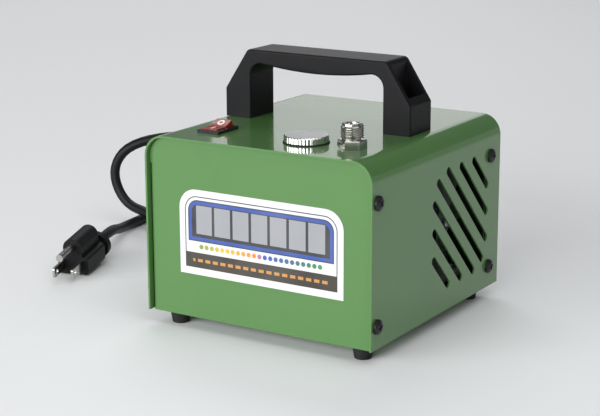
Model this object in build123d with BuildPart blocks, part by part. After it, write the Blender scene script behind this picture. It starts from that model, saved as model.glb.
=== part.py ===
from build123d import *
from math import cos, pi, radians, sin, tan
import os

# Airbrush compressor: a painted sheet-steel box on four rubber feet, with a diaphragm pump and its
# motor inside, and a carrying handle, a rocker switch, a bleed valve and an air outlet on its top.
# Millimetres, +Z up, origin on the ground under the middle of the box, the labelled front at -Y.

# ---- driving dimensions ----
case_width = 150.0
case_depth = 158.0
case_top = 114.0
sheet = 1.2
bend_radius = 12.5
foot_height = 8.6
cover_lift = 0.5
panel_recess = 3.0
sheet_gap = 0.3
fit_gap = 0.3
hole_gap = 0.25
running_gap = 0.05
seat_gap = 0.02

roof_under = case_top - sheet
cover_foot = foot_height + cover_lift
floor_top = foot_height + sheet
panel_half = case_width / 2 - sheet - sheet_gap
panel_face = case_depth / 2 - panel_recess
panel_back = panel_face - sheet
panel_top = roof_under - sheet_gap

# cover screws, two heights on each of two lines per side
side_screw_inset = (6.0, 13.6)
side_screw_z = (22.2, 91.2)
side_screw_radius = 1.5
side_head_radius = 4.2
side_head_height = 2.6
side_screw_length = 9.0

# air slots in both sides of the cover
slot_count = 7
slot_width = 5.0
slot_pitch = 11.7
slot_middle_length = 87.6
slot_field_half = 35.6
slot_field_y = 27.3
slot_field_z = 58.5

# what stands on the top
top_row_y = -50.9
switch_x = -44.3
switch_y = -49.1
knob_x = 16.8
outlet_x = 46.3

# handle
handle_x = -3.4
handle_y = 4.2
handle_length = 126.0
handle_depth = 26.0
handle_height = 41.7
handle_leg = 18.0
handle_upright = 17.2
handle_slant_run = 16.0
grip_end_depth = 6.8
grip_belly = 4.5
grip_corner = 7.5
pocket_wall = 2.8
pocket_floor = 12.0
handle_screw_radius = 2.5
handle_head_radius = 4.6
handle_head_height = 2.8
handle_screw_drop = 12.0

# motor, its shaft along X
axis_y = 27.0
axis_z = 58.5
stator_side = 80.0
stator_left = -8.0
stator_length = 38.0
stator_slot_radius = 32.0
pole_width = 15.0
shoe_radius = 24.0
shoe_slot = 8.0
rotor_radius = 20.0
air_gap = 0.4
coil_thickness = 4.8
coil_inner = 24.8
coil_outer = 28.8
bell_depth = 14.0
bell_wall = 3.0
shaft_radius = 4.0
shaft_left = -38.0
shaft_right = 67.0
bush_radius = 8.0
bush_length = 10.0
boss_radius = 11.0
motor_bolt_spacing = 68.0
motor_bolt_radius = 2.0
base_thickness = 2.0
mount_radius = 7.0
floor_screw_radius = 2.0
mount_spacing_x = 84.0
mount_spacing_y = 60.0

# fan
fan_left = 51.0
fan_width = 13.0
fan_radius = 35.0
fan_hub_radius = 9.0
fan_blades = 7
fan_blade_thickness = 1.6
fan_blade_twist = 32.0

# pump, in front of the shaft's left end
pump_x = -31.0
throw = 2.0
eccentric_radius = 8.5
bearing_radius = 15.0
rod_width = 7.0
rod_rim = 4.0
rod_shank = 12.0
pump_side = 54.0
pump_corner = 5.0
crankcase_wall = 3.0
crankcase_rear = 52.0
diaphragm_y = -19.0
diaphragm_thickness = 1.6
diaphragm_radius = 25.0
chamber_radius = 20.0
clamp_radius = 14.0
clamp_thickness = 2.4
rod_pad_thickness = 3.0
valve_plate_thickness = 10.4
chamber_depth = 7.4
gasket_thickness = 0.8
head_thickness = 14.0
head_screw_spacing = 44.0
head_screw_radius = 2.0
reed_thickness = 0.4
port_offset = 11.0

# air line
pipe_radius = 2.5
pipe_height = 98.0
pipe_bend = 12.0

# mains cord
cord_diameter = 7.0
gland_x = -50.0
gland_z = 82.0
gland_reach = 24.0
coil_centre = (-130.0, 130.0)
coil_mean_radius = 42.0
coil_columns = 2
coil_layers = 2
tie_thickness = 0.6
tie_width = 10.0
tie_gap = 0.5

# plug
plug_place = (-177.0, -25.0, 7.5)
plug_heading = 17.0
plug_pitch = 5.0
plug_width = 21.0
plug_below = 6.6
plug_above = 5.2
plug_length = 29.0
ground_offset = 11.9
ground_hump_radius = 6.4
blade_length = 17.5
blade_width = 6.35
blade_thickness = 1.5
blade_spacing = 12.7
ground_radius = 2.38
ground_length = 21.0

os.makedirs("parts", exist_ok=True)


def write(builder, name):
    builder.part.label = name
    export_step(builder.part, f"parts/{name}.step")


def front_plane(y):
    """A plane facing the front at this y: local x is X, local y is Z."""
    return Plane.XZ.offset(-y)


def side_plane(x):
    """A plane facing right at this x: local x is Y, local y is Z."""
    return Plane.YZ.offset(x)


# ---- cover: one sheet bent over the top and both sides ----
slot_angle = 45.0
switch_body = (13.2, 19.2)
valve_neck_radius = 5.0
outlet_shank_radius = 6.0
handle_hole_x = [handle_x + side * (handle_length - handle_leg) / 2 for side in (-1, 1)]
handle_holes = [(x, handle_y) for x in handle_hole_x]
side_screw_y = (side_screw_inset[0] - case_depth / 2, case_depth / 2 - side_screw_inset[1])
side_screw_places = [(y, z) for y in side_screw_y for z in side_screw_z]


def slot_length(offset):
    """Length of the slanted slot this far from the field's diagonal, cut off by the field's corners."""
    return min(slot_middle_length, 2 * (slot_field_half * 2**0.5 - abs(offset)))


with BuildPart() as cover:
    cover_height = case_top - cover_foot
    with BuildSketch(front_plane(case_depth / 2)):
        with Locations((0, cover_foot + cover_height / 2)):
            outline = Rectangle(case_width, cover_height)
        fillet(outline.vertices().group_by(Axis.Y)[-1], bend_radius)
        with BuildSketch(mode=Mode.SUBTRACT):
            with Locations((0, cover_foot + (cover_height - sheet) / 2)):
                hollow = Rectangle(case_width - 2 * sheet, cover_height - sheet)
            fillet(hollow.vertices().group_by(Axis.Y)[-1], bend_radius - sheet)
    extrude(amount=case_depth)
    with BuildSketch(Plane.XY.offset(case_top)):
        with Locations((switch_x, switch_y)):
            Rectangle(switch_body[0] + 2 * hole_gap, switch_body[1] + 2 * hole_gap)
        with Locations((knob_x, top_row_y)):
            Circle(valve_neck_radius + hole_gap)
        with Locations((outlet_x, top_row_y)):
            Circle(outlet_shank_radius + hole_gap)
        with Locations(*handle_holes):
            Circle(handle_screw_radius + hole_gap)
    extrude(amount=-bend_radius, mode=Mode.SUBTRACT)
    with BuildSketch(side_plane(0)):
        with Locations(*side_screw_places):
            Circle(side_screw_radius + hole_gap)
        for number in range(slot_count):
            offset = (number - (slot_count - 1) / 2) * slot_pitch
            step = offset * sin(radians(slot_angle))
            with Locations(Location((slot_field_y + step, slot_field_z + step, 0), (0, 0, -slot_angle))):
                SlotOverall(slot_length(offset), slot_width)
    extrude(amount=case_width, both=True, mode=Mode.SUBTRACT)
write(cover, "cover")

# ---- chassis: floor, front and rear panels and their side flanges, bent from one sheet ----
flange_depth = 15.0
flange_top = 97.0
flange_bend = 1.8
panel_corner = bend_radius - sheet - sheet_gap
foot_places = [(62.0, -65.0), (-62.0, -65.0), (62.0, 65.0), (-62.0, 65.0)]
gland_radius = 6.5

with BuildPart() as chassis:
    with BuildSketch(Plane.XY.offset(foot_height)):
        with Locations((0, -panel_face + flange_depth / 2)):
            flanged = Rectangle(2 * panel_half, flange_depth)
        fillet(flanged.vertices().group_by(Axis.Y)[0], flange_bend)
        with Locations((0, -panel_face + sheet + flange_depth / 2)):
            Rectangle(2 * (panel_half - sheet), flange_depth, mode=Mode.SUBTRACT)
    extrude(amount=flange_top - foot_height)
    with BuildSketch(front_plane(-panel_back)):
        with Locations((0, (flange_top + panel_top) / 2)):
            crown = Rectangle(2 * panel_half, panel_top - flange_top)
        fillet(crown.vertices().group_by(Axis.Y)[-1], panel_corner)
    extrude(amount=sheet)
    mirror(about=Plane.XZ)
    with Locations((0, 0, foot_height + sheet / 2)):
        Box(2 * (panel_half - flange_bend), 2 * panel_face - 2 * flange_bend, sheet)
    with Locations((0, 0, foot_height + sheet / 2)):
        Box(2 * (panel_half - sheet), 2 * panel_back, sheet)
    with BuildSketch(side_plane(0)):
        with Locations(*side_screw_places):
            Circle(side_screw_radius + running_gap)
    extrude(amount=case_width, both=True, mode=Mode.SUBTRACT)
    with BuildSketch(front_plane(panel_face)):
        with Locations((gland_x, gland_z)):
            Circle(gland_radius + hole_gap)
    extrude(amount=flange_depth, mode=Mode.SUBTRACT)
    with Locations(*[(x, y, floor_top) for x, y in foot_places]):
        Hole(floor_screw_radius + hole_gap)
    with Locations((stator_left + stator_length / 2, axis_y, floor_top)):
        with GridLocations(mount_spacing_x, mount_spacing_y, 2, 2):
            Hole(floor_screw_radius + hole_gap, depth=2 * sheet)
write(chassis, "chassis")

# ---- four rubber feet, each with a sunk screw, held by nuts on the floor ----
foot_radius = 6.3
foot_toe_radius = 4.9
foot_round = 0.6
foot_sink_radius = 3.4
foot_sink_depth = 4.0
foot_head_radius = 3.2
foot_head_height = 2.2
nut_height = 3.0
nut_radius = 4.0

with BuildPart() as feet:
    with Locations(*foot_places):
        Cone(foot_toe_radius, foot_radius, foot_height, align=(Align.CENTER, Align.CENTER, Align.MIN))
    fillet(feet.edges().filter_by(GeomType.CIRCLE).group_by(Axis.Z)[0], foot_round)
    with Locations(*[Location((x, y, 0), (180, 0, 0)) for x, y in foot_places]):
        CounterBoreHole(floor_screw_radius + hole_gap, foot_sink_radius, foot_sink_depth, foot_height)
write(feet, "feet")

with BuildPart() as foot_screws:
    with Locations(*[(x, y, foot_sink_depth) for x, y in foot_places]):
        Cylinder(foot_head_radius, foot_head_height, align=(Align.CENTER, Align.CENTER, Align.MAX))
    fillet(foot_screws.edges().filter_by(GeomType.CIRCLE).group_by(Axis.Z)[0], foot_head_height / 3)
    with Locations(*[(x, y, foot_sink_depth) for x, y in foot_places]):
        shank_rise = floor_top + nut_height + 1 - foot_sink_depth
        Cylinder(floor_screw_radius, shank_rise, align=(Align.CENTER, Align.CENTER, Align.MIN))
write(foot_screws, "foot_screws")

# ---- cover screws: pan heads against the cover, shanks cutting into the chassis flanges ----
with BuildPart() as side_screws:
    with BuildSketch(side_plane(case_width / 2)):
        with Locations(*side_screw_places):
            Circle(side_head_radius)
    extrude(amount=side_head_height)
    fillet(side_screws.edges().filter_by(GeomType.CIRCLE).group_by(Axis.X)[-1], side_head_height / 2)
    with BuildSketch(side_plane(case_width / 2)):
        with Locations(*side_screw_places):
            Circle(side_screw_radius)
    extrude(amount=-side_screw_length)
    mirror(about=Plane.YZ)
write(side_screws, "side_screws")

# ---- handle: a moulded bridge with a pocket in each slanted end for its screw ----
handle_half = handle_length / 2
handle_top = case_top + handle_height
shoulder = case_top + handle_upright
crown_x = handle_half - handle_slant_run
inner_x = handle_half - handle_leg
grip_under = handle_top - grip_end_depth
handle_edge = 1.2
crown_round = 4.0

with BuildPart() as handle:
    handle_plane = Plane(origin=(handle_x, handle_y + handle_depth / 2, 0), x_dir=(1, 0, 0), z_dir=(0, -1, 0))
    with BuildSketch(handle_plane) as handle_side:
        with BuildLine():
            belly = ThreePointArc((-inner_x, grip_under), (0, grip_under - grip_belly), (inner_x, grip_under))
            Polyline(
                belly @ 1,
                (inner_x, case_top),
                (handle_half, case_top),
                (handle_half, shoulder),
                (crown_x, handle_top),
                (-crown_x, handle_top),
                (-handle_half, shoulder),
                (-handle_half, case_top),
                (-inner_x, case_top),
                belly @ 0,
            )
        make_face()
        fillet(handle_side.vertices().group_by(Axis.Y)[-1], crown_round)
        fillet(handle_side.vertices().filter_by(lambda corner: abs(corner.Y - grip_under) < seat_gap), grip_corner)
    extrude(amount=handle_depth)
    rims = handle.faces().filter_by(Axis.Y)
    fillet(rims.edges().filter_by(lambda edge: edge.center().Z > case_top), handle_edge)
    for side in (-1, 1):
        pocket_outer = handle_half - pocket_wall
        pocket_inner = crown_x + pocket_wall / 2
        pocket_middle = handle_x + side * (pocket_outer + pocket_inner) / 2
        with Locations((pocket_middle, handle_y, case_top + pocket_floor)):
            Box(
                pocket_outer - pocket_inner,
                handle_depth - 2 * pocket_wall,
                handle_height,
                align=(Align.CENTER, Align.CENTER, Align.MIN),
                mode=Mode.SUBTRACT,
            )
    with Locations(*[(x, y, case_top) for x, y in handle_holes]):
        Cylinder(
            handle_screw_radius + hole_gap,
            pocket_floor,
            align=(Align.CENTER, Align.CENTER, Align.MIN),
            mode=Mode.SUBTRACT,
        )
write(handle, "handle")

with BuildPart() as handle_screws:
    with BuildSketch(Plane.XY.offset(case_top + pocket_floor)):
        with Locations(*handle_holes):
            Circle(handle_head_radius)
    extrude(amount=handle_head_height)
    fillet(handle_screws.edges().filter_by(GeomType.CIRCLE).group_by(Axis.Z)[-1], handle_head_height / 2)
    with BuildSketch(Plane.XY.offset(case_top + pocket_floor)):
        with Locations(*handle_holes):
            Circle(handle_screw_radius)
    extrude(amount=-(pocket_floor + handle_screw_drop))
write(handle_screws, "handle_screws")

handle_nut_radius = 4.6
handle_nut_height = 4.0
handle_washer_radius = 5.0
handle_washer_height = 1.0

with BuildPart() as handle_washers:
    with BuildSketch(Plane.XY.offset(roof_under)):
        with Locations(*handle_holes):
            Circle(handle_washer_radius)
            Circle(handle_screw_radius + seat_gap, mode=Mode.SUBTRACT)
    extrude(amount=-handle_washer_height)
write(handle_washers, "handle_washers")

with BuildPart() as handle_nuts:
    with BuildSketch(Plane.XY.offset(roof_under - handle_washer_height)):
        with Locations(*handle_holes):
            RegularPolygon(handle_nut_radius, 6)
            Circle(handle_screw_radius + seat_gap, mode=Mode.SUBTRACT)
    extrude(amount=-handle_nut_height)
write(handle_nuts, "handle_nuts")

# ---- rocker switch: snap-in housing, tilting rocker on a cross pin, two blade terminals ----
bezel_size = (15.0, 21.0)
bezel_height = 1.8
bezel_corner = 0.8
bezel_round = 0.5
switch_opening = (11.0, 17.8)
switch_drop = 13.0
switch_floor = 2.0
rocker_size = (10.2, 16.0)
rocker_pivot_z = case_top + 1.0
rocker_wing = 3.2
rocker_valley = 1.5
rocker_skirt = 1.2
rocker_keel = (3.5, 4.2)
rocker_tilt = 12.0
rocker_round = 0.6
pin_radius = 1.0
terminal_size = (0.8, 4.8, 8.0)
terminal_spacing = 8.0
switch_plane = Plane((switch_x, switch_y, case_top))

with BuildPart() as switch_housing:
    with BuildSketch(switch_plane):
        Rectangle(*bezel_size)
    extrude(amount=bezel_height)
    fillet(switch_housing.edges().filter_by(Axis.Z), bezel_corner)
    fillet(switch_housing.edges().group_by(Axis.Z)[-1], bezel_round)
    with BuildSketch(switch_plane):
        Rectangle(*switch_body)
    extrude(amount=-switch_drop)
    with BuildSketch(switch_plane.offset(bezel_height)):
        Rectangle(*switch_opening)
    extrude(amount=-(bezel_height + switch_drop - switch_floor), mode=Mode.SUBTRACT)
    with BuildSketch(side_plane(switch_x)):
        with Locations((switch_y, rocker_pivot_z)):
            Circle(pin_radius + seat_gap)
    extrude(amount=switch_body[0] / 2, both=True, mode=Mode.SUBTRACT)
write(switch_housing, "switch_housing")

half_rocker = rocker_size[1] / 2
rocker_run = (0, cos(radians(rocker_tilt)), sin(radians(rocker_tilt)))
tilted_rocker = Plane((switch_x, switch_y, rocker_pivot_z), x_dir=rocker_run, z_dir=(1, 0, 0))

with BuildPart() as switch_rocker:
    with BuildSketch(tilted_rocker) as rocker_side:
        with BuildLine():
            Polyline(
                (-half_rocker, rocker_wing),
                (0, rocker_valley),
                (half_rocker, rocker_wing),
                (half_rocker, -rocker_skirt),
                (rocker_keel[0], -rocker_keel[1]),
                (-rocker_keel[0], -rocker_keel[1]),
                (-half_rocker, -rocker_skirt),
                close=True,
            )
        make_face()
        fillet(rocker_side.vertices().group_by(Axis.Y)[-1], rocker_round)
        Circle(pin_radius + running_gap, mode=Mode.SUBTRACT)
    extrude(amount=rocker_size[0] / 2, both=True)
write(switch_rocker, "switch_rocker")

with BuildPart() as rocker_pin:
    with BuildSketch(side_plane(switch_x)):
        with Locations((switch_y, rocker_pivot_z)):
            Circle(pin_radius)
    extrude(amount=switch_body[0] / 2 - fit_gap, both=True)
write(rocker_pin, "rocker_pin")

with BuildPart() as switch_terminals:
    with Locations((switch_x, switch_y, case_top - switch_drop)):
        with GridLocations(1, terminal_spacing, 1, 2):
            Box(*terminal_size, align=(Align.CENTER, Align.CENTER, Align.MAX))
write(switch_terminals, "switch_terminals")

# ---- bleed valve: body hung from the cover by a thin nut, needle stem turned by a chrome cap ----
knob_radius = 12.7
knob_height = 4.6
knob_lift = 0.9
knob_skin = 1.4
knob_cavity_radius = 10.4
knob_boss_radius = 2.6
knob_edge = 0.7
knob_gasket_radius = 13.2
knob_gasket_hole = 9.6
knob_gasket_height = 0.6
valve_body_radius = 9.0
valve_neck_top = case_top + 2.8
valve_nut_radius = 7.4
valve_nut_height = 1.8
stem_radius = 1.6
stem_depth = 12.0
valve_bottom = pipe_height - 10.0
knob_bottom = case_top + knob_lift
knob_top = knob_bottom + knob_height
knob_centre = (knob_x, top_row_y)

with BuildPart() as knob_gasket:
    with BuildSketch(Plane.XY.offset(case_top)):
        with Locations(knob_centre):
            Circle(knob_gasket_radius)
            Circle(knob_gasket_hole, mode=Mode.SUBTRACT)
    extrude(amount=knob_gasket_height)
write(knob_gasket, "knob_gasket")

with BuildPart() as pressure_knob:
    with Locations((*knob_centre, knob_bottom)):
        Cylinder(knob_radius, knob_height, align=(Align.CENTER, Align.CENTER, Align.MIN))
    fillet(pressure_knob.edges().filter_by(GeomType.CIRCLE).group_by(Axis.Z)[-1], knob_edge)
    with BuildSketch(Plane.XY.offset(knob_bottom)):
        with Locations(knob_centre):
            Circle(knob_cavity_radius)
            Circle(knob_boss_radius, mode=Mode.SUBTRACT)
    extrude(amount=knob_height - knob_skin, mode=Mode.SUBTRACT)
    with BuildSketch(Plane.XY.offset(knob_bottom)):
        with Locations(knob_centre):
            Circle(knob_boss_radius)
    extrude(amount=valve_neck_top + fit_gap - knob_bottom, mode=Mode.SUBTRACT)
    with BuildSketch(Plane.XY.offset(knob_bottom)):
        with Locations(knob_centre):
            Circle(stem_radius + seat_gap)
    extrude(amount=knob_height - knob_skin / 2, mode=Mode.SUBTRACT)
write(pressure_knob, "pressure_knob")

with BuildPart() as valve_stem:
    with BuildSketch(Plane.XY.offset(knob_top - knob_skin)):
        with Locations(knob_centre):
            Circle(stem_radius)
    extrude(amount=-(knob_top - knob_skin - case_top + stem_depth))
    chamfer(valve_stem.edges().group_by(Axis.Z)[0], stem_radius / 2)
write(valve_stem, "valve_stem")

with BuildPart() as valve_body:
    with BuildSketch(Plane.XY.offset(valve_bottom)):
        with Locations(knob_centre):
            Circle(valve_body_radius)
    extrude(amount=roof_under - valve_bottom)
    with BuildSketch(Plane.XY.offset(roof_under)):
        with Locations(knob_centre):
            Circle(valve_neck_radius)
    extrude(amount=valve_neck_top - roof_under)
    with BuildSketch(Plane.XY.offset(valve_neck_top)):
        with Locations(knob_centre):
            Circle(stem_radius + running_gap)
    extrude(amount=-(valve_neck_top - case_top + stem_depth + fit_gap), mode=Mode.SUBTRACT)
    with BuildSketch(side_plane(knob_x)):
        with Locations((top_row_y, pipe_height)):
            Circle(pipe_radius + seat_gap)
    extrude(amount=valve_body_radius, both=True, mode=Mode.SUBTRACT)
write(valve_body, "valve_body")

# ---- air outlet: threaded nipple with a hexagon on the cover, its nut and elbow below ----
thread_radius = 6.58
thread_length = 9.0
outlet_hex_across = 14.3
outlet_hex_height = 5.0
outlet_hex_chamfer = 0.7
outlet_bore_radius = 3.2
outlet_shank_drop = 8.0
outlet_nut_radius = 9.0
outlet_nut_height = 4.0
elbow_side = 14.0
elbow_edge = 1.0
outlet_centre = (outlet_x, top_row_y)
outlet_hex_radius = outlet_hex_across / 3**0.5
thread_bottom = case_top + outlet_hex_height
thread_top = thread_bottom + thread_length
outlet_elbow_top = roof_under - outlet_shank_drop

with BuildPart() as outlet_fitting:
    with BuildSketch(Plane.XY.offset(case_top)):
        with Locations(outlet_centre):
            RegularPolygon(outlet_hex_radius, 6, rotation=30)
    extrude(amount=outlet_hex_height)
    chamfer(outlet_fitting.edges().group_by(Axis.Z)[-1], outlet_hex_chamfer)
    with BuildSketch(Plane.XY.offset(thread_bottom)):
        with Locations(outlet_centre):
            Circle(thread_radius)
    extrude(amount=thread_length)
    chamfer(outlet_fitting.edges().group_by(Axis.Z)[-1], outlet_hex_chamfer)
    with BuildSketch(Plane.XY.offset(case_top)):
        with Locations(outlet_centre):
            Circle(outlet_shank_radius)
    extrude(amount=-(sheet + outlet_shank_drop))
    with BuildSketch(Plane.XY.offset(thread_top)):
        with Locations(outlet_centre):
            Circle(outlet_bore_radius)
    extrude(amount=-(thread_top - outlet_elbow_top), mode=Mode.SUBTRACT)
write(outlet_fitting, "outlet_fitting")

with BuildPart() as outlet_nut:
    with BuildSketch(Plane.XY.offset(roof_under)):
        with Locations(outlet_centre):
            RegularPolygon(outlet_nut_radius, 6)
            Circle(outlet_shank_radius + seat_gap, mode=Mode.SUBTRACT)
    extrude(amount=-outlet_nut_height)
write(outlet_nut, "outlet_nut")

with BuildPart() as outlet_elbow:
    with Locations((*outlet_centre, outlet_elbow_top)):
        Box(elbow_side, elbow_side, elbow_side, align=(Align.CENTER, Align.CENTER, Align.MAX))
    chamfer(outlet_elbow.edges(), elbow_edge)
    with BuildSketch(Plane.XY.offset(outlet_elbow_top)):
        with Locations(outlet_centre):
            Circle(outlet_bore_radius)
    extrude(amount=-(outlet_elbow_top - pipe_height + pipe_radius), mode=Mode.SUBTRACT)
    with BuildSketch(side_plane(outlet_x)):
        with Locations((top_row_y, pipe_height)):
            Circle(pipe_radius + seat_gap)
    extrude(amount=-elbow_side / 2, mode=Mode.SUBTRACT)
write(outlet_elbow, "outlet_elbow")

# ---- label on the front panel ----
label_left = -53.0
label_right = 56.0
label_bottom = 34.6
label_top = 84.8
label_thickness = 0.3
label_round = 11.5

with BuildPart() as front_label:
    with BuildSketch(front_plane(-panel_face)) as label_sketch:
        with Locations(((label_left + label_right) / 2, (label_bottom + label_top) / 2)):
            Rectangle(label_right - label_left, label_top - label_bottom)
        fillet(label_sketch.vertices().group_by(Axis.Y)[-1], label_round)
    extrude(amount=label_thickness)
write(front_label, "front_label")

# ---- motor: base plate on rubber mounts, laminated stator, four coils, two end bells ----
stator_bottom = axis_z - stator_side / 2
stator_right = stator_left + stator_length
stator_middle = stator_left + stator_length / 2
base_top = stator_bottom
base_bottom = base_top - base_thickness
bell_left_face = stator_left - bell_depth
bell_right_face = stator_right + bell_depth
ear_height = 12.0
ear_width = 12.0
stator_corner = 5.0
rotor_bore = rotor_radius + air_gap
bolt_offsets = (-motor_bolt_spacing / 2, motor_bolt_spacing / 2)
bolt_places = [(axis_y + y, axis_z + z) for y in bolt_offsets for z in bolt_offsets]
motor_bolt_head = (3.6, 2.8)
crankcase_screw_places = [(y, z) for y in (-8.0, 45.0) for z in (38.0, 79.0)]
crankcase_screw_radius = 1.6
mount_places = [
    (stator_middle + x * mount_spacing_x / 2, axis_y + y * mount_spacing_y / 2) for x in (-1, 1) for y in (-1, 1)
]

with BuildPart() as motor_mounts:
    with BuildSketch(Plane.XY.offset(floor_top)):
        with Locations(*mount_places):
            Circle(mount_radius)
            Circle(floor_screw_radius + seat_gap, mode=Mode.SUBTRACT)
    extrude(amount=base_bottom - floor_top)
write(motor_mounts, "motor_mounts")

with BuildPart() as motor_base:
    with Locations((stator_middle, axis_y, base_bottom)):
        base_length = mount_spacing_x + 2 * mount_radius
        base_depth = mount_spacing_y + 2 * mount_radius
        Box(base_length, base_depth, base_thickness, align=(Align.CENTER, Align.CENTER, Align.MIN))
    for side, face in ((-1, bell_left_face), (1, bell_right_face)):
        for y in (bolt_places[0][0], bolt_places[-1][0]):
            with Locations((face + side * base_thickness / 2, y, base_bottom)):
                Box(base_thickness, ear_width, ear_height, align=(Align.CENTER, Align.CENTER, Align.MIN))
            reach = abs(face - stator_middle) + base_thickness
            with Locations((stator_middle + side * reach / 2, y, base_bottom)):
                Box(reach, ear_width, base_thickness, align=(Align.CENTER, Align.CENTER, Align.MIN))
    with BuildSketch(side_plane(stator_middle)):
        with Locations(*bolt_places):
            Circle(motor_bolt_radius + seat_gap)
    extrude(amount=case_width / 2, both=True, mode=Mode.SUBTRACT)
    with Locations(*[(x, y, base_top) for x, y in mount_places]):
        Hole(floor_screw_radius + seat_gap, depth=2 * base_thickness)
write(motor_base, "motor_base")

with BuildPart() as mount_screws:
    with BuildSketch(Plane.XY.offset(foot_height)):
        with Locations(*mount_places):
            Circle(foot_head_radius)
    extrude(amount=-foot_head_height)
    with BuildSketch(Plane.XY.offset(foot_height)):
        with Locations(*mount_places):
            Circle(floor_screw_radius)
    extrude(amount=base_top + nut_height + 1 - foot_height)
write(mount_screws, "mount_screws")

with BuildPart() as floor_nuts:
    for height, places in ((floor_top, foot_places), (base_top, mount_places)):
        with BuildSketch(Plane.XY.offset(height)):
            with Locations(*places):
                RegularPolygon(nut_radius, 6)
                Circle(floor_screw_radius + seat_gap, mode=Mode.SUBTRACT)
        extrude(amount=nut_height)
write(floor_nuts, "floor_nuts")

with BuildPart() as stator_core:
    with BuildSketch(side_plane(stator_left)):
        with Locations((axis_y, axis_z)):
            RectangleRounded(stator_side, stator_side, stator_corner)
            Circle(stator_slot_radius, mode=Mode.SUBTRACT)
            Rectangle(2 * stator_slot_radius + stator_corner, pole_width)
            Rectangle(pole_width, 2 * stator_slot_radius + stator_corner)
            Circle(shoe_radius)
            with PolarLocations(0, 4, start_angle=45):
                Rectangle(2 * shoe_radius + 2, shoe_slot, mode=Mode.SUBTRACT)
            Circle(rotor_bore, mode=Mode.SUBTRACT)
        with Locations(*bolt_places):
            Circle(motor_bolt_radius + seat_gap, mode=Mode.SUBTRACT)
    extrude(amount=stator_length)
write(stator_core, "stator_core")

with BuildPart() as stator_coils:
    coil_run = stator_length + 2 * fit_gap
    coil_span = pole_width + 2 * fit_gap
    for turn in range(4):
        outward = (0, cos(turn * pi / 2), sin(turn * pi / 2))
        pole_plane = Plane((stator_middle, axis_y, axis_z), x_dir=(1, 0, 0), z_dir=outward)
        with BuildSketch(pole_plane.offset(coil_inner)):
            RectangleRounded(coil_run + 2 * coil_thickness, coil_span + 2 * coil_thickness, coil_thickness)
            Rectangle(coil_run, coil_span, mode=Mode.SUBTRACT)
        extrude(amount=coil_outer - coil_inner)
write(stator_coils, "stator_coils")

with BuildPart() as end_bell_left:
    with BuildSketch(side_plane(bell_left_face)):
        with Locations((axis_y, axis_z)):
            RectangleRounded(stator_side, stator_side, stator_corner)
    extrude(amount=bell_depth)
    with BuildSketch(side_plane(bell_left_face + bell_wall)):
        with Locations((axis_y, axis_z)):
            RectangleRounded(stator_side - 2 * bell_wall, stator_side - 2 * bell_wall, stator_corner)
            Circle(boss_radius, mode=Mode.SUBTRACT)
        with Locations(*bolt_places):
            Circle(2 * motor_bolt_radius, mode=Mode.SUBTRACT)
    extrude(amount=bell_depth - bell_wall, mode=Mode.SUBTRACT)
    with BuildSketch(side_plane(bell_left_face + bush_length)):
        with Locations((axis_y, axis_z)):
            Circle(boss_radius)
    extrude(amount=bell_depth - bush_length, mode=Mode.SUBTRACT)
    with BuildSketch(side_plane(bell_left_face)):
        with Locations((axis_y, axis_z)):
            Circle(bush_radius + seat_gap)
            for quarter in range(4):
                with PolarLocations((boss_radius + rotor_radius) / 2 + 3, 1, start_angle=45 + 90 * quarter):
                    SlotOverall(bush_length + bell_wall, bell_wall * 2, rotation=90)
        with Locations(*bolt_places):
            Circle(motor_bolt_radius + seat_gap)
        with Locations(*crankcase_screw_places):
            Circle(crankcase_screw_radius + seat_gap)
    extrude(amount=bell_depth, mode=Mode.SUBTRACT)
write(end_bell_left, "end_bell_left")

with BuildPart() as end_bell_right:
    add(end_bell_left.part.mirror(side_plane(stator_middle)))
write(end_bell_right, "end_bell_right")

bush_starts = (bell_left_face, bell_right_face - bush_length)

with BuildPart() as shaft_bushes:
    for start in bush_starts:
        with BuildSketch(side_plane(start)):
            with Locations((axis_y, axis_z)):
                Circle(bush_radius)
                Circle(shaft_radius + running_gap, mode=Mode.SUBTRACT)
        extrude(amount=bush_length)
write(shaft_bushes, "shaft_bushes")

with BuildPart() as motor_bolts:
    bolt_end = bell_right_face + base_thickness
    with BuildSketch(side_plane(bolt_end)):
        with Locations(*bolt_places):
            Circle(motor_bolt_head[0])
    extrude(amount=motor_bolt_head[1])
    with BuildSketch(side_plane(bolt_end)):
        with Locations(*bolt_places):
            Circle(motor_bolt_radius)
    extrude(amount=-(bolt_end - bell_left_face + base_thickness + nut_height + 1))
write(motor_bolts, "motor_bolts")

with BuildPart() as motor_nuts:
    with BuildSketch(side_plane(bell_left_face - base_thickness)):
        with Locations(*bolt_places):
            RegularPolygon(nut_radius, 6)
            Circle(motor_bolt_radius + seat_gap, mode=Mode.SUBTRACT)
    extrude(amount=-nut_height)
write(motor_nuts, "motor_nuts")

# ---- rotor: shaft, cage, fan, and the eccentric that drives the pump ----
with BuildPart() as motor_shaft:
    with BuildSketch(side_plane(shaft_left)):
        with Locations((axis_y, axis_z)):
            Circle(shaft_radius)
    extrude(amount=shaft_right - shaft_left)
    chamfer(motor_shaft.edges(), shaft_radius / 8)
write(motor_shaft, "motor_shaft")

end_ring_width = 2.5
end_ring_inner = 13.0

with BuildPart() as rotor_core:
    with BuildSketch(side_plane(stator_left)):
        with Locations((axis_y, axis_z)):
            Circle(rotor_radius)
    extrude(amount=stator_length)
    for start in (stator_left - end_ring_width, stator_right):
        with BuildSketch(side_plane(start)):
            with Locations((axis_y, axis_z)):
                Circle(rotor_radius - 1)
                Circle(end_ring_inner, mode=Mode.SUBTRACT)
        extrude(amount=end_ring_width)
    with BuildSketch(side_plane(stator_middle)):
        with Locations((axis_y, axis_z)):
            Circle(shaft_radius + seat_gap)
    extrude(amount=stator_length, both=True, mode=Mode.SUBTRACT)
write(rotor_core, "rotor_core")

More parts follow.
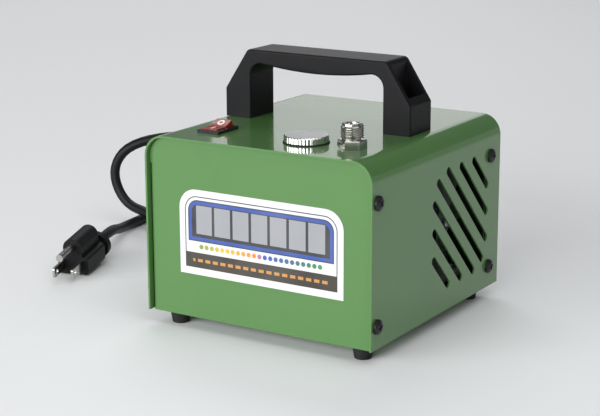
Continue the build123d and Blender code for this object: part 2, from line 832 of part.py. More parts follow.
with BuildPart() as cooling_fan:
    with BuildSketch(side_plane(fan_left)):
        with Locations((axis_y, axis_z)):
            Circle(fan_hub_radius)
    extrude(amount=fan_width)
    for blade in range(fan_blades):
        around = 2 * pi * blade / fan_blades
        outward = (0, cos(around), sin(around))
        blade_plane = Plane((fan_left + fan_width / 2, axis_y, axis_z), x_dir=(1, 0, 0), z_dir=outward)
        with BuildSketch(blade_plane.offset(fan_hub_radius - fan_blade_thickness)):
            Rectangle(fan_width, fan_blade_thickness, rotation=fan_blade_twist)
        with BuildSketch(blade_plane.offset(fan_radius)):
            Rectangle(fan_width, fan_blade_thickness, rotation=fan_blade_twist * 1.6)
        loft()
    with BuildSketch(side_plane(fan_left)):
        with Locations((axis_y, axis_z)):
            Circle(shaft_radius + seat_gap)
    extrude(amount=fan_width, mode=Mode.SUBTRACT)
write(cooling_fan, "cooling_fan")

crank_y = axis_y + throw
rod_left = pump_x - rod_width / 2
rod_right = pump_x + rod_width / 2
counterweight_radius = 20.0
counterweight_thickness = 3.5
hub_shoulder = 0.5

with BuildPart() as eccentric:
    with BuildSketch(side_plane(rod_left - hub_shoulder)):
        with Locations((crank_y, axis_z)):
            Circle(eccentric_radius)
    extrude(amount=rod_width + 2 * hub_shoulder)
    with BuildSketch(side_plane(rod_left - hub_shoulder)):
        with Locations((axis_y, axis_z)):
            Circle(counterweight_radius)
            Rectangle(counterweight_radius, 2 * counterweight_radius, align=(Align.MIN, Align.CENTER), mode=Mode.SUBTRACT)
        with Locations((crank_y, axis_z)):
            Circle(eccentric_radius + hub_shoulder)
    extrude(amount=-counterweight_thickness)
    with BuildSketch(side_plane(pump_x)):
        with Locations((axis_y, axis_z)):
            Circle(shaft_radius + seat_gap)
    extrude(amount=rod_width * 2, both=True, mode=Mode.SUBTRACT)
write(eccentric, "eccentric")

# ---- pump: crankcase bolted to the motor, rod, diaphragm, valves and head ----
pump_front = diaphragm_y - diaphragm_thickness
pad_front = diaphragm_y + fit_gap
clamp_back = pump_front - fit_gap
valve_front = pump_front - valve_plate_thickness
head_back = valve_front - gasket_thickness
head_front = head_back - head_thickness
flange_thickness = 4.0
crankcase_left = -46.0
clamp_screw_radius = 2.0
clamp_screw_head = (4.0, 1.6)
rod_pad_radius = clamp_radius + 1

with BuildPart() as rod_bearing:
    with BuildSketch(side_plane(rod_left)):
        with Locations((crank_y, axis_z)):
            Circle(bearing_radius)
            Circle(eccentric_radius + running_gap, mode=Mode.SUBTRACT)
    extrude(amount=rod_width)
write(rod_bearing, "rod_bearing")

with BuildPart() as connecting_rod:
    with BuildSketch(side_plane(rod_left)):
        with Locations((crank_y, axis_z)):
            Circle(bearing_radius + rod_rim)
        with Locations(((crank_y + pad_front) / 2, axis_z)):
            Rectangle(crank_y - pad_front - rod_pad_thickness, rod_shank)
        with Locations((crank_y, axis_z)):
            Circle(bearing_radius + seat_gap, mode=Mode.SUBTRACT)
    extrude(amount=rod_width)
    with BuildSketch(front_plane(pad_front + rod_pad_thickness)):
        with Locations((pump_x, axis_z)):
            Circle(rod_pad_radius)
    extrude(amount=rod_pad_thickness)
    with BuildSketch(front_plane(pad_front + 2 * rod_pad_thickness)):
        with Locations((pump_x, axis_z)):
            Circle(clamp_screw_radius + seat_gap)
    extrude(amount=2 * rod_pad_thickness, mode=Mode.SUBTRACT)
write(connecting_rod, "connecting_rod")

with BuildPart() as diaphragm:
    with BuildSketch(front_plane(diaphragm_y)):
        with Locations((pump_x, axis_z)):
            Circle(diaphragm_radius)
            Circle(clamp_screw_radius + fit_gap, mode=Mode.SUBTRACT)
    extrude(amount=diaphragm_thickness)
write(diaphragm, "diaphragm")

with BuildPart() as diaphragm_clamp:
    with BuildSketch(front_plane(clamp_back)):
        with Locations((pump_x, axis_z)):
            Circle(clamp_radius)
            Circle(clamp_screw_radius + seat_gap, mode=Mode.SUBTRACT)
    extrude(amount=clamp_thickness)
    with BuildSketch(front_plane(clamp_back - clamp_thickness)):
        with Locations((pump_x, axis_z)):
            Circle(clamp_screw_head[0] + seat_gap)
    extrude(amount=-clamp_screw_head[1], mode=Mode.SUBTRACT)
write(diaphragm_clamp, "diaphragm_clamp")

with BuildPart() as clamp_screw:
    with BuildSketch(front_plane(clamp_back - clamp_thickness)):
        with Locations((pump_x, axis_z)):
            Circle(clamp_screw_head[0])
    extrude(amount=-clamp_screw_head[1])
    with BuildSketch(front_plane(clamp_back - clamp_thickness)):
        with Locations((pump_x, axis_z)):
            Circle(clamp_screw_radius)
    extrude(amount=-(clamp_thickness + diaphragm_thickness + 2 * fit_gap + 2 * rod_pad_thickness))
write(clamp_screw, "clamp_screw")

head_screw_places = [(pump_x + x * head_screw_spacing / 2, axis_z + z * head_screw_spacing / 2)
                     for x in (-1, 1) for z in (-1, 1)]
case_span = crankcase_rear - diaphragm_y
case_middle = (crankcase_rear + diaphragm_y) / 2

with BuildPart() as crankcase:
    with BuildSketch(side_plane(bell_left_face)):
        with Locations((case_middle, axis_z)):
            Rectangle(case_span, pump_side)
    extrude(amount=-(bell_left_face - crankcase_left))
    with BuildSketch(side_plane(bell_left_face - crankcase_wall)):
        with Locations((case_middle, axis_z)):
            Rectangle(case_span - 2 * crankcase_wall, pump_side - 2 * crankcase_wall)
    extrude(amount=-case_width / 2, mode=Mode.SUBTRACT)
    with BuildSketch(front_plane(diaphragm_y + flange_thickness)):
        with Locations((pump_x, axis_z)):
            RectangleRounded(pump_side, pump_side, pump_corner)
    extrude(amount=flange_thickness)
    with BuildSketch(front_plane(diaphragm_y + flange_thickness)):
        with Locations((pump_x, axis_z)):
            Circle(chamber_radius)
        with Locations(*head_screw_places):
            Circle(head_screw_radius + seat_gap)
    extrude(amount=flange_thickness, mode=Mode.SUBTRACT)
    with BuildSketch(side_plane(bell_left_face)):
        with Locations((axis_y, axis_z)):
            Circle(bush_radius)
        with Locations(*crankcase_screw_places):
            Circle(crankcase_screw_radius + hole_gap)
    extrude(amount=-crankcase_wall, mode=Mode.SUBTRACT)
write(crankcase, "crankcase")

crankcase_head = (3.0, 2.2)

with BuildPart() as crankcase_screws:
    with BuildSketch(side_plane(bell_left_face - crankcase_wall)):
        with Locations(*crankcase_screw_places):
            Circle(crankcase_head[0])
    extrude(amount=-crankcase_head[1])
    with BuildSketch(side_plane(bell_left_face - crankcase_wall)):
        with Locations(*crankcase_screw_places):
            Circle(crankcase_screw_radius)
    extrude(amount=crankcase_wall + bell_wall + 1)
write(crankcase_screws, "crankcase_screws")

port_radius = 2.2
chamber_size = (16.0, 30.0)
head_chamber_depth = 9.0
reed_size = (6.0, 15.0)
port_places = [(pump_x - port_offset, axis_z), (pump_x + port_offset, axis_z)]

with BuildPart() as valve_plate:
    with BuildSketch(front_plane(pump_front)):
        with Locations((pump_x, axis_z)):
            RectangleRounded(pump_side, pump_side, pump_corner)
        with Locations(*head_screw_places):
            Circle(head_screw_radius + seat_gap, mode=Mode.SUBTRACT)
        with Locations(*port_places):
            Circle(port_radius, mode=Mode.SUBTRACT)
    extrude(amount=valve_plate_thickness)
    with BuildSketch(front_plane(pump_front)):
        with Locations((pump_x, axis_z)):
            Circle(chamber_radius)
    extrude(amount=chamber_depth, mode=Mode.SUBTRACT)
write(valve_plate, "valve_plate")

with BuildPart() as reed_valves:
    with BuildSketch(front_plane(pump_front - chamber_depth + reed_thickness)):
        with Locations(port_places[0]):
            Rectangle(*reed_size)
    extrude(amount=reed_thickness)
    with BuildSketch(front_plane(valve_front)):
        with Locations(port_places[1]):
            Rectangle(*reed_size)
    extrude(amount=reed_thickness)
write(reed_valves, "reed_valves")

with BuildPart() as head_gasket:
    with BuildSketch(front_plane(valve_front)):
        with Locations((pump_x, axis_z)):
            RectangleRounded(pump_side, pump_side, pump_corner)
        with Locations(*port_places):
            Rectangle(*chamber_size, mode=Mode.SUBTRACT)
        with Locations(*head_screw_places):
            Circle(head_screw_radius + seat_gap, mode=Mode.SUBTRACT)
    extrude(amount=gasket_thickness)
write(head_gasket, "head_gasket")

outlet_port = (port_places[1][0], axis_z + 8)
inlet_port = (port_places[0][0], axis_z)
pipe_bore = pipe_radius / 2

with BuildPart() as pump_head:
    with BuildSketch(front_plane(head_back)):
        with Locations((pump_x, axis_z)):
            RectangleRounded(pump_side, pump_side, pump_corner)
        with Locations(*head_screw_places):
            Circle(head_screw_radius + seat_gap, mode=Mode.SUBTRACT)
        with Locations(outlet_port, inlet_port):
            Circle(pipe_bore, mode=Mode.SUBTRACT)
    extrude(amount=head_thickness)
    with BuildSketch(front_plane(head_back)):
        with Locations(*port_places):
            Rectangle(*chamber_size)
    extrude(amount=head_chamber_depth, mode=Mode.SUBTRACT)
write(pump_head, "pump_head")

with BuildPart() as head_screws:
    with BuildSketch(front_plane(head_front)):
        with Locations(*head_screw_places):
            Circle(head_screw_radius * 1.75)
            RegularPolygon(head_screw_radius * 0.85, 6, mode=Mode.SUBTRACT)
    extrude(amount=head_screw_radius * 2)
    with BuildSketch(front_plane(head_front)):
        with Locations(*head_screw_places):
            Circle(head_screw_radius)
    extrude(amount=-(diaphragm_y + flange_thickness - head_front))
    with BuildSketch(front_plane(head_front - head_screw_radius / 2)):
        with Locations(*head_screw_places):
            Circle(head_screw_radius)
    extrude(amount=-head_screw_radius / 2)
write(head_screws, "head_screws")

filter_radius = 8.0
filter_length = 9.0
filter_rib = 0.8

with BuildPart() as intake_filter:
    with BuildSketch(front_plane(head_front)):
        with Locations(inlet_port):
            Circle(filter_radius)
    extrude(amount=filter_length)
    with BuildSketch(front_plane(head_front - filter_length)):
        with Locations(inlet_port):
            Circle(filter_radius - filter_rib)
            Circle(filter_radius / 2, mode=Mode.SUBTRACT)
    extrude(amount=-filter_length / 3, mode=Mode.SUBTRACT)
write(intake_filter, "intake_filter")

# ---- air line: elbow on the head, bent pipe to the bleed valve, short pipe to the outlet ----
head_elbow_side = 2 * (head_front - top_row_y)
pipe_insert = 3.0

with BuildPart() as head_elbow:
    with Locations((outlet_port[0], top_row_y, outlet_port[1])):
        Box(head_elbow_side, head_elbow_side, head_elbow_side)
    chamfer(head_elbow.edges(), elbow_edge)
    with BuildSketch(Plane.XY.offset(outlet_port[1] + head_elbow_side / 2)):
        with Locations((outlet_port[0], top_row_y)):
            Circle(pipe_radius + seat_gap)
    extrude(amount=-pipe_insert, mode=Mode.SUBTRACT)
write(head_elbow, "head_elbow")

with BuildPart() as pump_pipe:
    pipe_start = outlet_port[1] + head_elbow_side / 2 - pipe_insert
    with BuildLine() as pipe_run:
        FilletPolyline(
            (outlet_port[0], top_row_y, pipe_start),
            (outlet_port[0], top_row_y, pipe_height),
            (knob_x - valve_body_radius + pipe_insert, top_row_y, pipe_height),
            radius=pipe_bend,
        )
    with BuildSketch(Plane.XY.offset(pipe_start)):
        with Locations((outlet_port[0], top_row_y)):
            Circle(pipe_radius)
            Circle(pipe_bore, mode=Mode.SUBTRACT)
    sweep()
write(pump_pipe, "pump_pipe")

with BuildPart() as outlet_pipe:
    outlet_pipe_start = knob_x + valve_body_radius - pipe_insert
    with BuildSketch(side_plane(outlet_pipe_start)):
        with Locations((top_row_y, pipe_height)):
            Circle(pipe_radius)
            Circle(pipe_bore, mode=Mode.SUBTRACT)
    extrude(amount=outlet_x - elbow_side / 2 + pipe_insert - outlet_pipe_start)
write(outlet_pipe, "outlet_pipe")

# ---- mains entry: strain relief clamped in the rear panel, three wires inside the box ----
gland_flange_radius = 8.5
gland_flange_thickness = 2.5
gland_root_radius = 5.6
gland_tip_radius = 4.2
gland_tip_y = panel_face + gland_flange_thickness + gland_reach
gland_inner_y = panel_back - gland_flange_thickness
wire_radius = 1.1
wire_bend = 3.0
wire_height = case_top - switch_drop - 5.0
terminal_half = terminal_size[1] / 2
motor_lead = (stator_left - bell_depth / 2, axis_y + 28.0)
motor_top = axis_z + stator_side / 2

with BuildPart() as cord_gland:
    with BuildSketch(front_plane(panel_face + gland_flange_thickness)):
        with Locations((gland_x, gland_z)):
            Circle(gland_flange_radius)
    extrude(amount=gland_flange_thickness)
    with BuildSketch(front_plane(panel_face)):
        with Locations((gland_x, gland_z)):
            Circle(gland_radius)
    extrude(amount=sheet)
    with BuildSketch(front_plane(panel_back)):
        with Locations((gland_x, gland_z)):
            Circle(gland_flange_radius)
    extrude(amount=gland_flange_thickness)
    fillet(cord_gland.edges().filter_by(GeomType.CIRCLE).group_by(Axis.Y)[-1], gland_flange_thickness / 3)
    with BuildSketch(front_plane(gland_tip_y)):
        with Locations((gland_x, gland_z)):
            Circle(gland_tip_radius)
    with BuildSketch(front_plane(panel_face + gland_flange_thickness)):
        with Locations((gland_x, gland_z)):
            Circle(gland_root_radius)
    loft()
write(cord_gland, "cord_gland")

wire_routes = [
    [
        (gland_x, gland_inner_y, gland_z),
        (gland_x, gland_inner_y - 6, gland_z),
        (gland_x, gland_inner_y - 18, wire_height),
        (switch_x, axis_y, wire_height),
        (switch_x, switch_y + terminal_spacing / 2 + terminal_half, wire_height),
    ],
    [
        (gland_x - 3, gland_inner_y, gland_z),
        (gland_x - 3, gland_inner_y - 6, gland_z),
        (gland_x - 8, gland_inner_y - 18, wire_height),
        (gland_x - 16, axis_y, wire_height),
        (gland_x - 16, switch_y - terminal_spacing / 2, wire_height),
        (switch_x - terminal_size[0] / 2, switch_y - terminal_spacing / 2, wire_height),
    ],
    [
        (gland_x + 3, gland_inner_y, gland_z),
        (gland_x + 3, gland_inner_y - 6, gland_z),
        (gland_x + 10, gland_inner_y - 12, motor_top + 6),
        (motor_lead[0], motor_lead[1], motor_top + 6),
        (motor_lead[0], motor_lead[1], motor_top),
    ],
]

with BuildPart() as wires:
    for route in wire_routes:
        with BuildLine() as wire_line:
            FilletPolyline(*route, radius=wire_bend)
        with BuildSketch(Plane(origin=wire_line.line @ 0, z_dir=wire_line.line % 0)):
            Circle(wire_radius)
        sweep(path=wire_line.line)
write(wires, "wires")

# ---- mains cord: out of the gland, a hanging loop to the ground, a tied coil, then the plug ----
cord_radius = cord_diameter / 2
corner_share = 0.45
coil_floor = tie_thickness
coil_half_width = coil_columns * cord_radius
coil_outer_radius = coil_mean_radius + coil_half_width
coil_inner_radius = coil_mean_radius - coil_half_width
coil_height = coil_layers * cord_diameter
tied_height = coil_height + cord_diameter
lead_radius = coil_outer_radius - cord_radius
plug_forward = Vector(
    sin(radians(plug_heading)) * cos(radians(plug_pitch)),
    -cos(radians(plug_heading)) * cos(radians(plug_pitch)),
    -sin(radians(plug_pitch)),
)
plug_across = Vector(cos(radians(plug_heading)), sin(radians(plug_heading)), 0)
plug_plane = Plane(origin=plug_place, x_dir=plug_across, z_dir=plug_forward)
plug_tail_end = 46.0
plug_rear = plug_plane.origin - plug_forward * plug_tail_end

loop_points = [
    (gland_x, gland_tip_y, gland_z),
    (-50, 136, 82),
    (-70, 162, 81),
    (-106, 172, 79),
    (-144, 158, 75),
    (-182, 132, 66),
    (-227, 106, 61),
    (-244, 100, 40),
    (-234, 101, 14),
    (-206, 98, 10),
    (-172, coil_centre[1] - lead_radius, coil_floor + cord_radius),
    (-142, coil_centre[1] - lead_radius, coil_floor + cord_radius),
]
tail_points = [
    (coil_centre[0], coil_centre[1] + lead_radius, coil_floor + coil_height + cord_radius),
    (-170, 175, 15),
    (-206, 157, 7),
    (-222, 122, 3.5),
    (-218, 86, 3.5),
    (-207, 61, 7.5),
    (-196.8, 39.8, 13.4),
    tuple(plug_rear),
]


def corner_radii(points):
    """The largest even radius that each corner's two runs leave room for."""
    radii = []
    for before, corner, after in zip(points, points[1:], points[2:]):
        run_in = Vector(corner) - Vector(before)
        run_out = Vector(after) - Vector(corner)
        half_turn = radians(run_in.get_angle(run_out)) / 2
        radii.append(corner_share * min(run_in.length, run_out.length) / tan(half_turn))
    return radii


def cord_tube(points, name):
    """One free stretch of the cord, straight runs joined by tangent arcs."""
    radii = corner_radii(points)
    with BuildPart() as tube:
        with BuildLine() as line:
            FilletPolyline(*points, radius=radii)
        with BuildSketch(Plane(origin=line.line @ 0, z_dir=line.line % 0)):
            Circle(cord_radius)
        sweep(path=line.line)
    run_length = sum(edge.length for edge in line.edges())
    expected = pi * cord_radius**2 * run_length
    print(name, "radii", [round(radius, 1) for radius in radii], "length", round(run_length, 1))
    print(name, "volume", round(tube.part.volume), "section times length", round(expected))
    write(tube, name)


cord_tube(loop_points, "cord_loop")
cord_tube(tail_points, "cord_tail")

with BuildPart() as cord_coil:
    with BuildSketch(Plane.XY.offset(coil_floor)):
        with Locations(coil_centre):
            Circle(coil_outer_radius)
            Circle(coil_inner_radius, mode=Mode.SUBTRACT)
    extrude(amount=coil_height)
    with BuildSketch(Plane.XY.offset(coil_floor + coil_height)):
        with Locations(coil_centre):
            Circle(coil_outer_radius)
            Circle(coil_mean_radius, mode=Mode.SUBTRACT)
    extrude(amount=cord_diameter)
write(cord_coil, "cord_coil")

with BuildPart() as cord_tie:
    tie_side = (2 * (coil_half_width + tie_gap + tie_thickness), tied_height + 2 * tie_thickness)
    with BuildSketch(front_plane(coil_centre[1] + tie_width / 2)):
        with Locations((coil_centre[0] - coil_mean_radius, coil_floor + tied_height / 2)):
            Rectangle(*tie_side)
            Rectangle(tie_side[0] - 2 * tie_thickness, tied_height, mode=Mode.SUBTRACT)
    extrude(amount=tie_width)
write(cord_tie, "cord_tie")

# ---- plug: moulded body, finger flange, tapered tail, two blades and a round earth pin ----
plug_middle = (plug_above - plug_below) / 2
plug_edge = 2.0
flange_start = 34.0
flange_length = 5.0
flange_axes = (11.0, 9.4)
neck_size = (13.0, 11.0)
tail_radius = 5.4
blade_hole = (1.6, 4.0)
blade_round = 1.2

with BuildPart() as plug_body:
    with BuildSketch(plug_plane):
        with Locations((0, plug_middle)):
            RectangleRounded(plug_width, plug_above + plug_below, plug_edge)
        with Locations((0, ground_offset - 1)):
            Circle(ground_hump_radius)
        with Locations((0, ground_offset / 2)):
            Rectangle(2 * ground_hump_radius, ground_offset)
    extrude(amount=-plug_length)
    with BuildSketch(plug_plane.offset(-plug_length)):
        RectangleRounded(*neck_size, plug_edge)
    extrude(amount=plug_length - flange_start)
    with BuildSketch(plug_plane.offset(-flange_start)):
        Ellipse(*flange_axes)
    extrude(amount=-flange_length)
    with BuildSketch(plug_plane.offset(-flange_start - flange_length)):
        Circle(tail_radius)
    with BuildSketch(plug_plane.offset(-plug_tail_end)):
        Circle(cord_radius + fit_gap)
    loft()
write(plug_body, "plug_body")

with BuildPart() as plug_blades:
    for side in (-1, 1):
        blade_face = Plane(
            plug_plane.from_local_coords(Vector(side * blade_spacing / 2 - blade_thickness / 2, 0, 0)),
            x_dir=plug_forward,
            z_dir=plug_across,
        )
        with BuildSketch(blade_face) as blade_sketch:
            Rectangle(blade_length, blade_width, align=(Align.MIN, Align.CENTER))
            fillet(blade_sketch.vertices().group_by(Axis.X)[-1], blade_round)
            with Locations((blade_length - blade_hole[1], 0)):
                Circle(blade_hole[0], mode=Mode.SUBTRACT)
        extrude(amount=blade_thickness)
    with BuildSketch(plug_plane):
        with Locations((0, ground_offset)):
            Circle(ground_radius)
    extrude(amount=ground_length)
    fillet(plug_blades.edges().filter_by(GeomType.CIRCLE).sort_by(SortBy.DISTANCE)[-1:], ground_radius / 2)
write(plug_blades, "plug_blades")
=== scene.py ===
from math import cos, pi, radians, sin

import bmesh
import bpy
from mathutils import Matrix, Vector


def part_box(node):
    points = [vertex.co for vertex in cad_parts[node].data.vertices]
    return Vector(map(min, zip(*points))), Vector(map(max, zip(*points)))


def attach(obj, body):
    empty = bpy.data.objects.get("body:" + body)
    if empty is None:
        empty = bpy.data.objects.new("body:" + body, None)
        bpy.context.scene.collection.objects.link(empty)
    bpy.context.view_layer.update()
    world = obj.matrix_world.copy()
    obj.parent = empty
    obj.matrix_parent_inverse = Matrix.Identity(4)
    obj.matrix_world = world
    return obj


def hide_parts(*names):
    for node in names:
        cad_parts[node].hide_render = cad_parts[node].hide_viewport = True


# An airbrush compressor: a folded steel box, painted green, that holds a small diaphragm pump.
# Everything is in metres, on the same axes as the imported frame: +Z up, label towards -Y.
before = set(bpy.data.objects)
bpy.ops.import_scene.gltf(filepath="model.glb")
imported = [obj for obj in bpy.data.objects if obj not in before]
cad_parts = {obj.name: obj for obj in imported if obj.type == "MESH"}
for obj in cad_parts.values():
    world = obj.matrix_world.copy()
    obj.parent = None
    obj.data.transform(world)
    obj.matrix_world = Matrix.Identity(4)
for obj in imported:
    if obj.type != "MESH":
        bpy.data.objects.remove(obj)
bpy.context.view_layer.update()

# ---- camera: a little above the box, turned to show the label and the slotted side ----
# A long lens from about a metre away, so that the edges of the box run nearly parallel. It
# leans a hair to one side.
eye, aim = Vector((0.4806, -0.8005, 0.2990)), Vector((-0.0193, 0.0, 0.0605))
camera = bpy.data.objects.new("camera", bpy.data.cameras.new("camera"))
camera.data.lens, camera.data.sensor_width = 96.91, 36
roll = Matrix.Rotation(radians(-0.171), 4, "Z")
to_aim = (aim - eye).to_track_quat("-Z", "Y").to_matrix().to_4x4()
camera.matrix_world = Matrix.Translation(eye) @ (to_aim @ roll)
bpy.context.scene.collection.objects.link(camera)
bpy.context.scene.camera = camera

# ---- mains cord: three wires in a round black sheath, 1.8 m from gland to plug ----
# It hangs from the gland in a loop, lies wound in a tied coil behind the box, and comes
# out of the coil's top to the plug. The sheath is extruded PVC with a faint satin skin.
cord_radius = 0.0035
coil_centre = (-0.130, 0.130)
coil_reach, coil_floor = 0.0455, 0.0041
turns = 4.5
turn_points = 24


class Wire:
    """A value on its way through a node tree. A sum or product of wires adds the maths node for it."""

    def __init__(self, bench, socket):
        self.bench, self.socket = bench, socket

    def maths(self, operation, *values):
        return self.bench.maths(operation, *values)

    def __add__(self, other):
        return self.maths("ADD", self, other)

    def __sub__(self, other):
        return self.maths("SUBTRACT", self, other)

    def __rsub__(self, other):
        return self.maths("SUBTRACT", other, self)

    def __mul__(self, other):
        return self.maths("MULTIPLY", self, other)

    def __truediv__(self, other):
        return self.maths("DIVIDE", self, other)

    def __pow__(self, power):
        return self.maths("POWER", self, power)

    def __lt__(self, other):
        return self.maths("LESS_THAN", self, other)

    def __gt__(self, other):
        return self.maths("GREATER_THAN", self, other)

    def __abs__(self):
        return self.maths("ABSOLUTE", self)

    def sine(self):
        return self.maths("SINE", self)

    __radd__, __rmul__ = __add__, __mul__


class Bench:
    """A node tree being wired, for a finish or for a shape."""

    def __init__(self, tree):
        self.tree = tree

    def node(self, kind, settings=None, values=None, out=0):
        """Adds a node, sets it up, feeds its sockets and hands back one outlet."""
        made = self.tree.nodes.new(kind)
        for name, setting in (settings or {}).items():
            if name == "stops":
                while len(made.color_ramp.elements) < len(setting):
                    made.color_ramp.elements.new(1.0)
                for stop, (place, colour) in zip(made.color_ramp.elements, setting):
                    stop.position, stop.color = place, (*colour, 1.0)
            else:
                setattr(made, name, setting)
        for name, value in (values or {}).items():
            self.feed(made.inputs[name], value)
        return Wire(self, made.outputs[out])

    def maths(self, operation, *values):
        return self.node("ShaderNodeMath", {"operation": operation}, dict(enumerate(values)))

    def feed(self, socket, value):
        if isinstance(value, Wire):
            self.tree.links.new(value.socket, socket)
        elif socket.type == "RGBA" and len(value) == 3:
            socket.default_value = (*value, 1.0)
        else:
            socket.default_value = value


class Finish(Bench):
    """The finish of a surface: its material, its shader and the place of each point, in metres."""

    def __init__(self, name, **fixed):
        self.material = bpy.data.materials.new(name)
        self.material.use_nodes = True
        super().__init__(self.material.node_tree)
        self.shader = self.tree.nodes["Principled BSDF"]
        self.place = self.node("ShaderNodeTexCoord", out="Object")
        self.show(**fixed)

    def show(self, **sockets):
        for name, value in sockets.items():
            self.feed(self.shader.inputs[name.replace("_", " ")], value)

    def axis(self, letter):
        return self.node("ShaderNodeSeparateXYZ", None, {0: self.place}, "XYZ".index(letter))

    def noise(self, scale, detail=2.0, stretch=None):
        """Cloudy noise from 0 to 1, in patches to the metre, finer along an axis that is stretched."""
        where = self.place if stretch is None else self.scaled(stretch)
        return self.node("ShaderNodeTexNoise", None, {"Vector": where, "Scale": scale, "Detail": detail})

    def scaled(self, sizes):
        return self.node("ShaderNodeVectorMath", {"operation": "MULTIPLY"}, {0: self.place, 1: sizes})

    def mix(self, share, first, second):
        return self.node("ShaderNodeMix", {"data_type": "RGBA"}, {0: share, 6: first, 7: second}, 2)

    def bump(self, height, depth, strength=1.0):
        values = {"Height": height, "Distance": depth, "Strength": strength}
        raised = self.node("ShaderNodeBump", None, values)
        self.show(Normal=raised)


def wear(name, finish):
    """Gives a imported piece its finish."""
    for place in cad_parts[name].material_slots:
        place.material = finish.material


sheath = Finish("cord_sheath", IOR=1.48, Specular_IOR_Level=0.15)
satin = sheath.noise(90.0, 3.0)
sheath.show(
    Base_Color=sheath.mix(satin, (0.006, 0.006, 0.007), (0.012, 0.012, 0.013)),
    Roughness=0.34 + 0.14 * satin,
)
sheath.bump(sheath.noise(1400.0, 2.0), 0.00005, 0.35)


def eased(angle, start, end):
    """0 before start, 1 after end, and a soft change between them."""
    share = min(max((angle - start) / (end - start), 0.0), 1.0)
    return share * share * (3 - 2 * share)


hanging = [
    (-0.050, 0.1025, 0.082),
    (-0.050, 0.136, 0.082),
    (-0.070, 0.162, 0.081),
    (-0.106, 0.172, 0.079),
    (-0.144, 0.158, 0.075),
    (-0.182, 0.132, 0.066),
    (-0.227, 0.106, 0.061),
    (-0.244, 0.100, 0.040),
    (-0.234, 0.101, 0.014),
    (-0.206, 0.098, 0.010),
    (-0.172, 0.0845, 0.0041),
    (-0.142, 0.0845, 0.0041),
]
# The strand lies two abreast in the coil: it moves inwards, up a layer, outwards and up again.
coiled = []
for step in range(int(turns * turn_points) + 1):
    turned_by = 360 * step / turn_points
    inward = eased(turned_by, 305, 345) - eased(turned_by, 945, 985)
    layer = eased(turned_by, 625, 665) + eased(turned_by, 1265, 1305)
    reach = coil_reach - 2 * cord_radius * inward
    heading = radians(turned_by - 90)
    coiled.append(
        (
            coil_centre[0] + reach * cos(heading),
            coil_centre[1] + reach * sin(heading),
            coil_floor + 2 * cord_radius * layer,
        )
    )
to_plug = [
    (-0.170, 0.175, 0.015),
    (-0.206, 0.157, 0.007),
    (-0.222, 0.122, 0.0035),
    (-0.218, 0.086, 0.0035),
    (-0.207, 0.061, 0.0075),
    (-0.1968, 0.0398, 0.0134),
    (-0.1904, 0.0188, 0.0115),
]
route = hanging + coiled + to_plug
cord_line = bpy.data.curves.new("mains_cord", "CURVE")
cord_line.dimensions = "3D"
cord_line.bevel_depth, cord_line.bevel_resolution = cord_radius, 4
cord_line.resolution_u = 6
cord_line.use_fill_caps = True
strand = cord_line.splines.new("NURBS")
strand.points.add(len(route) - 1)
for place, point in zip(strand.points, route):
    place.co = (*point, 1.0)
strand.order_u = 3
strand.use_endpoint_u = True
mains_cord = bpy.data.objects.new("mains_cord", cord_line)
bpy.context.scene.collection.objects.link(mains_cord)
cord_line.materials.append(sheath.material)
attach(mains_cord, "case")
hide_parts("cord_loop", "cord_coil", "cord_tail")

# ---- coil tie, strain relief and plug: what is on the cord ----
# The tie is a nylon band. The strain relief and the plug are moulded PVC, duller than the
# sheath, and the blades are nickelled brass, polished by use.
moulding = Finish("plug_moulding", IOR=1.48, Specular_IOR_Level=0.15)
grain = moulding.noise(60.0, 4.0)
moulding.show(
    Base_Color=moulding.mix(grain, (0.005, 0.005, 0.006), (0.012, 0.012, 0.013)),
    Roughness=0.36 + 0.16 * grain,
)
moulding.bump(moulding.noise(2200.0, 2.0), 0.00006, 0.4)
for name in ("cord_gland", "cord_tie", "plug_body", "wires"):
    wear(name, moulding)

nickel = Finish("nickel_plate", Metallic=1.0)
rubbed = nickel.noise(240.0, 3.0)
nickel.show(
    Base_Color=nickel.mix(rubbed, (0.44, 0.43, 0.40), (0.56, 0.55, 0.52)),
    Roughness=0.12 + 0.12 * rubbed,
)
nickel.bump(nickel.noise(900.0, 3.0), 0.00003, 0.3)
for name in ("plug_blades", "outlet_nut"):
    wear(name, nickel)

# ---- cover: one sheet of 1.2 mm steel folded over the top and both sides ----
# Powder coated in a glossy leaf green, with the soft ripple that baking leaves and a few
# specks of dust under the skin. The air slots and screw holes were punched before folding.
# The inside faces of the sheet are coloured near black: painted shade for the dark inside of the box.
paint = Finish("green_enamel", Coat_Roughness=0.05, Coat_IOR=1.5, IOR=1.5, Specular_IOR_Level=0.1)
clouds = paint.noise(11.0, 3.0)
specks = paint.noise(950.0, 1.0) > 0.79
leaf = paint.mix(clouds, (0.068, 0.172, 0.046), (0.078, 0.190, 0.054))
sheet, bend = 0.0012, 0.0125
cover_half, chassis_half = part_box("cover")[1][0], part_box("chassis")[1][1]
roof, floor_foot = 0.114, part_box("chassis")[0][2]
over_side = paint.maths("MAXIMUM", abs(paint.axis("X")) - (cover_half - bend), 0.0)
over_roof = paint.maths("MAXIMUM", paint.axis("Z") - (roof - bend), 0.0)
inner_skin = 0.9 * sheet
# Painted shade: this mask finds the inside faces of the cover and chassis by their position.
inside_shade = (over_side * over_side + over_roof * over_roof) ** 0.5 < bend - inner_skin
inside_shade = inside_shade * (abs(paint.axis("Y")) < chassis_half - inner_skin)
inside_shade = inside_shade * (paint.axis("Z") > floor_foot + inner_skin)
coat = paint.mix(specks * 0.5, leaf, (0.16, 0.34, 0.12))
paint.show(
    # The near-black colour on the masked inside faces is painted shade, not a primer.
    Base_Color=paint.mix(inside_shade, coat, (0.012, 0.018, 0.010)),
    Roughness=0.24 + 0.10 * clouds + 0.2 * specks,
    Coat_Weight=0.85 + 0.15 * clouds,
)
paint.bump(paint.noise(420.0, 2.0) + specks * 0.6, 0.00003, 0.5)


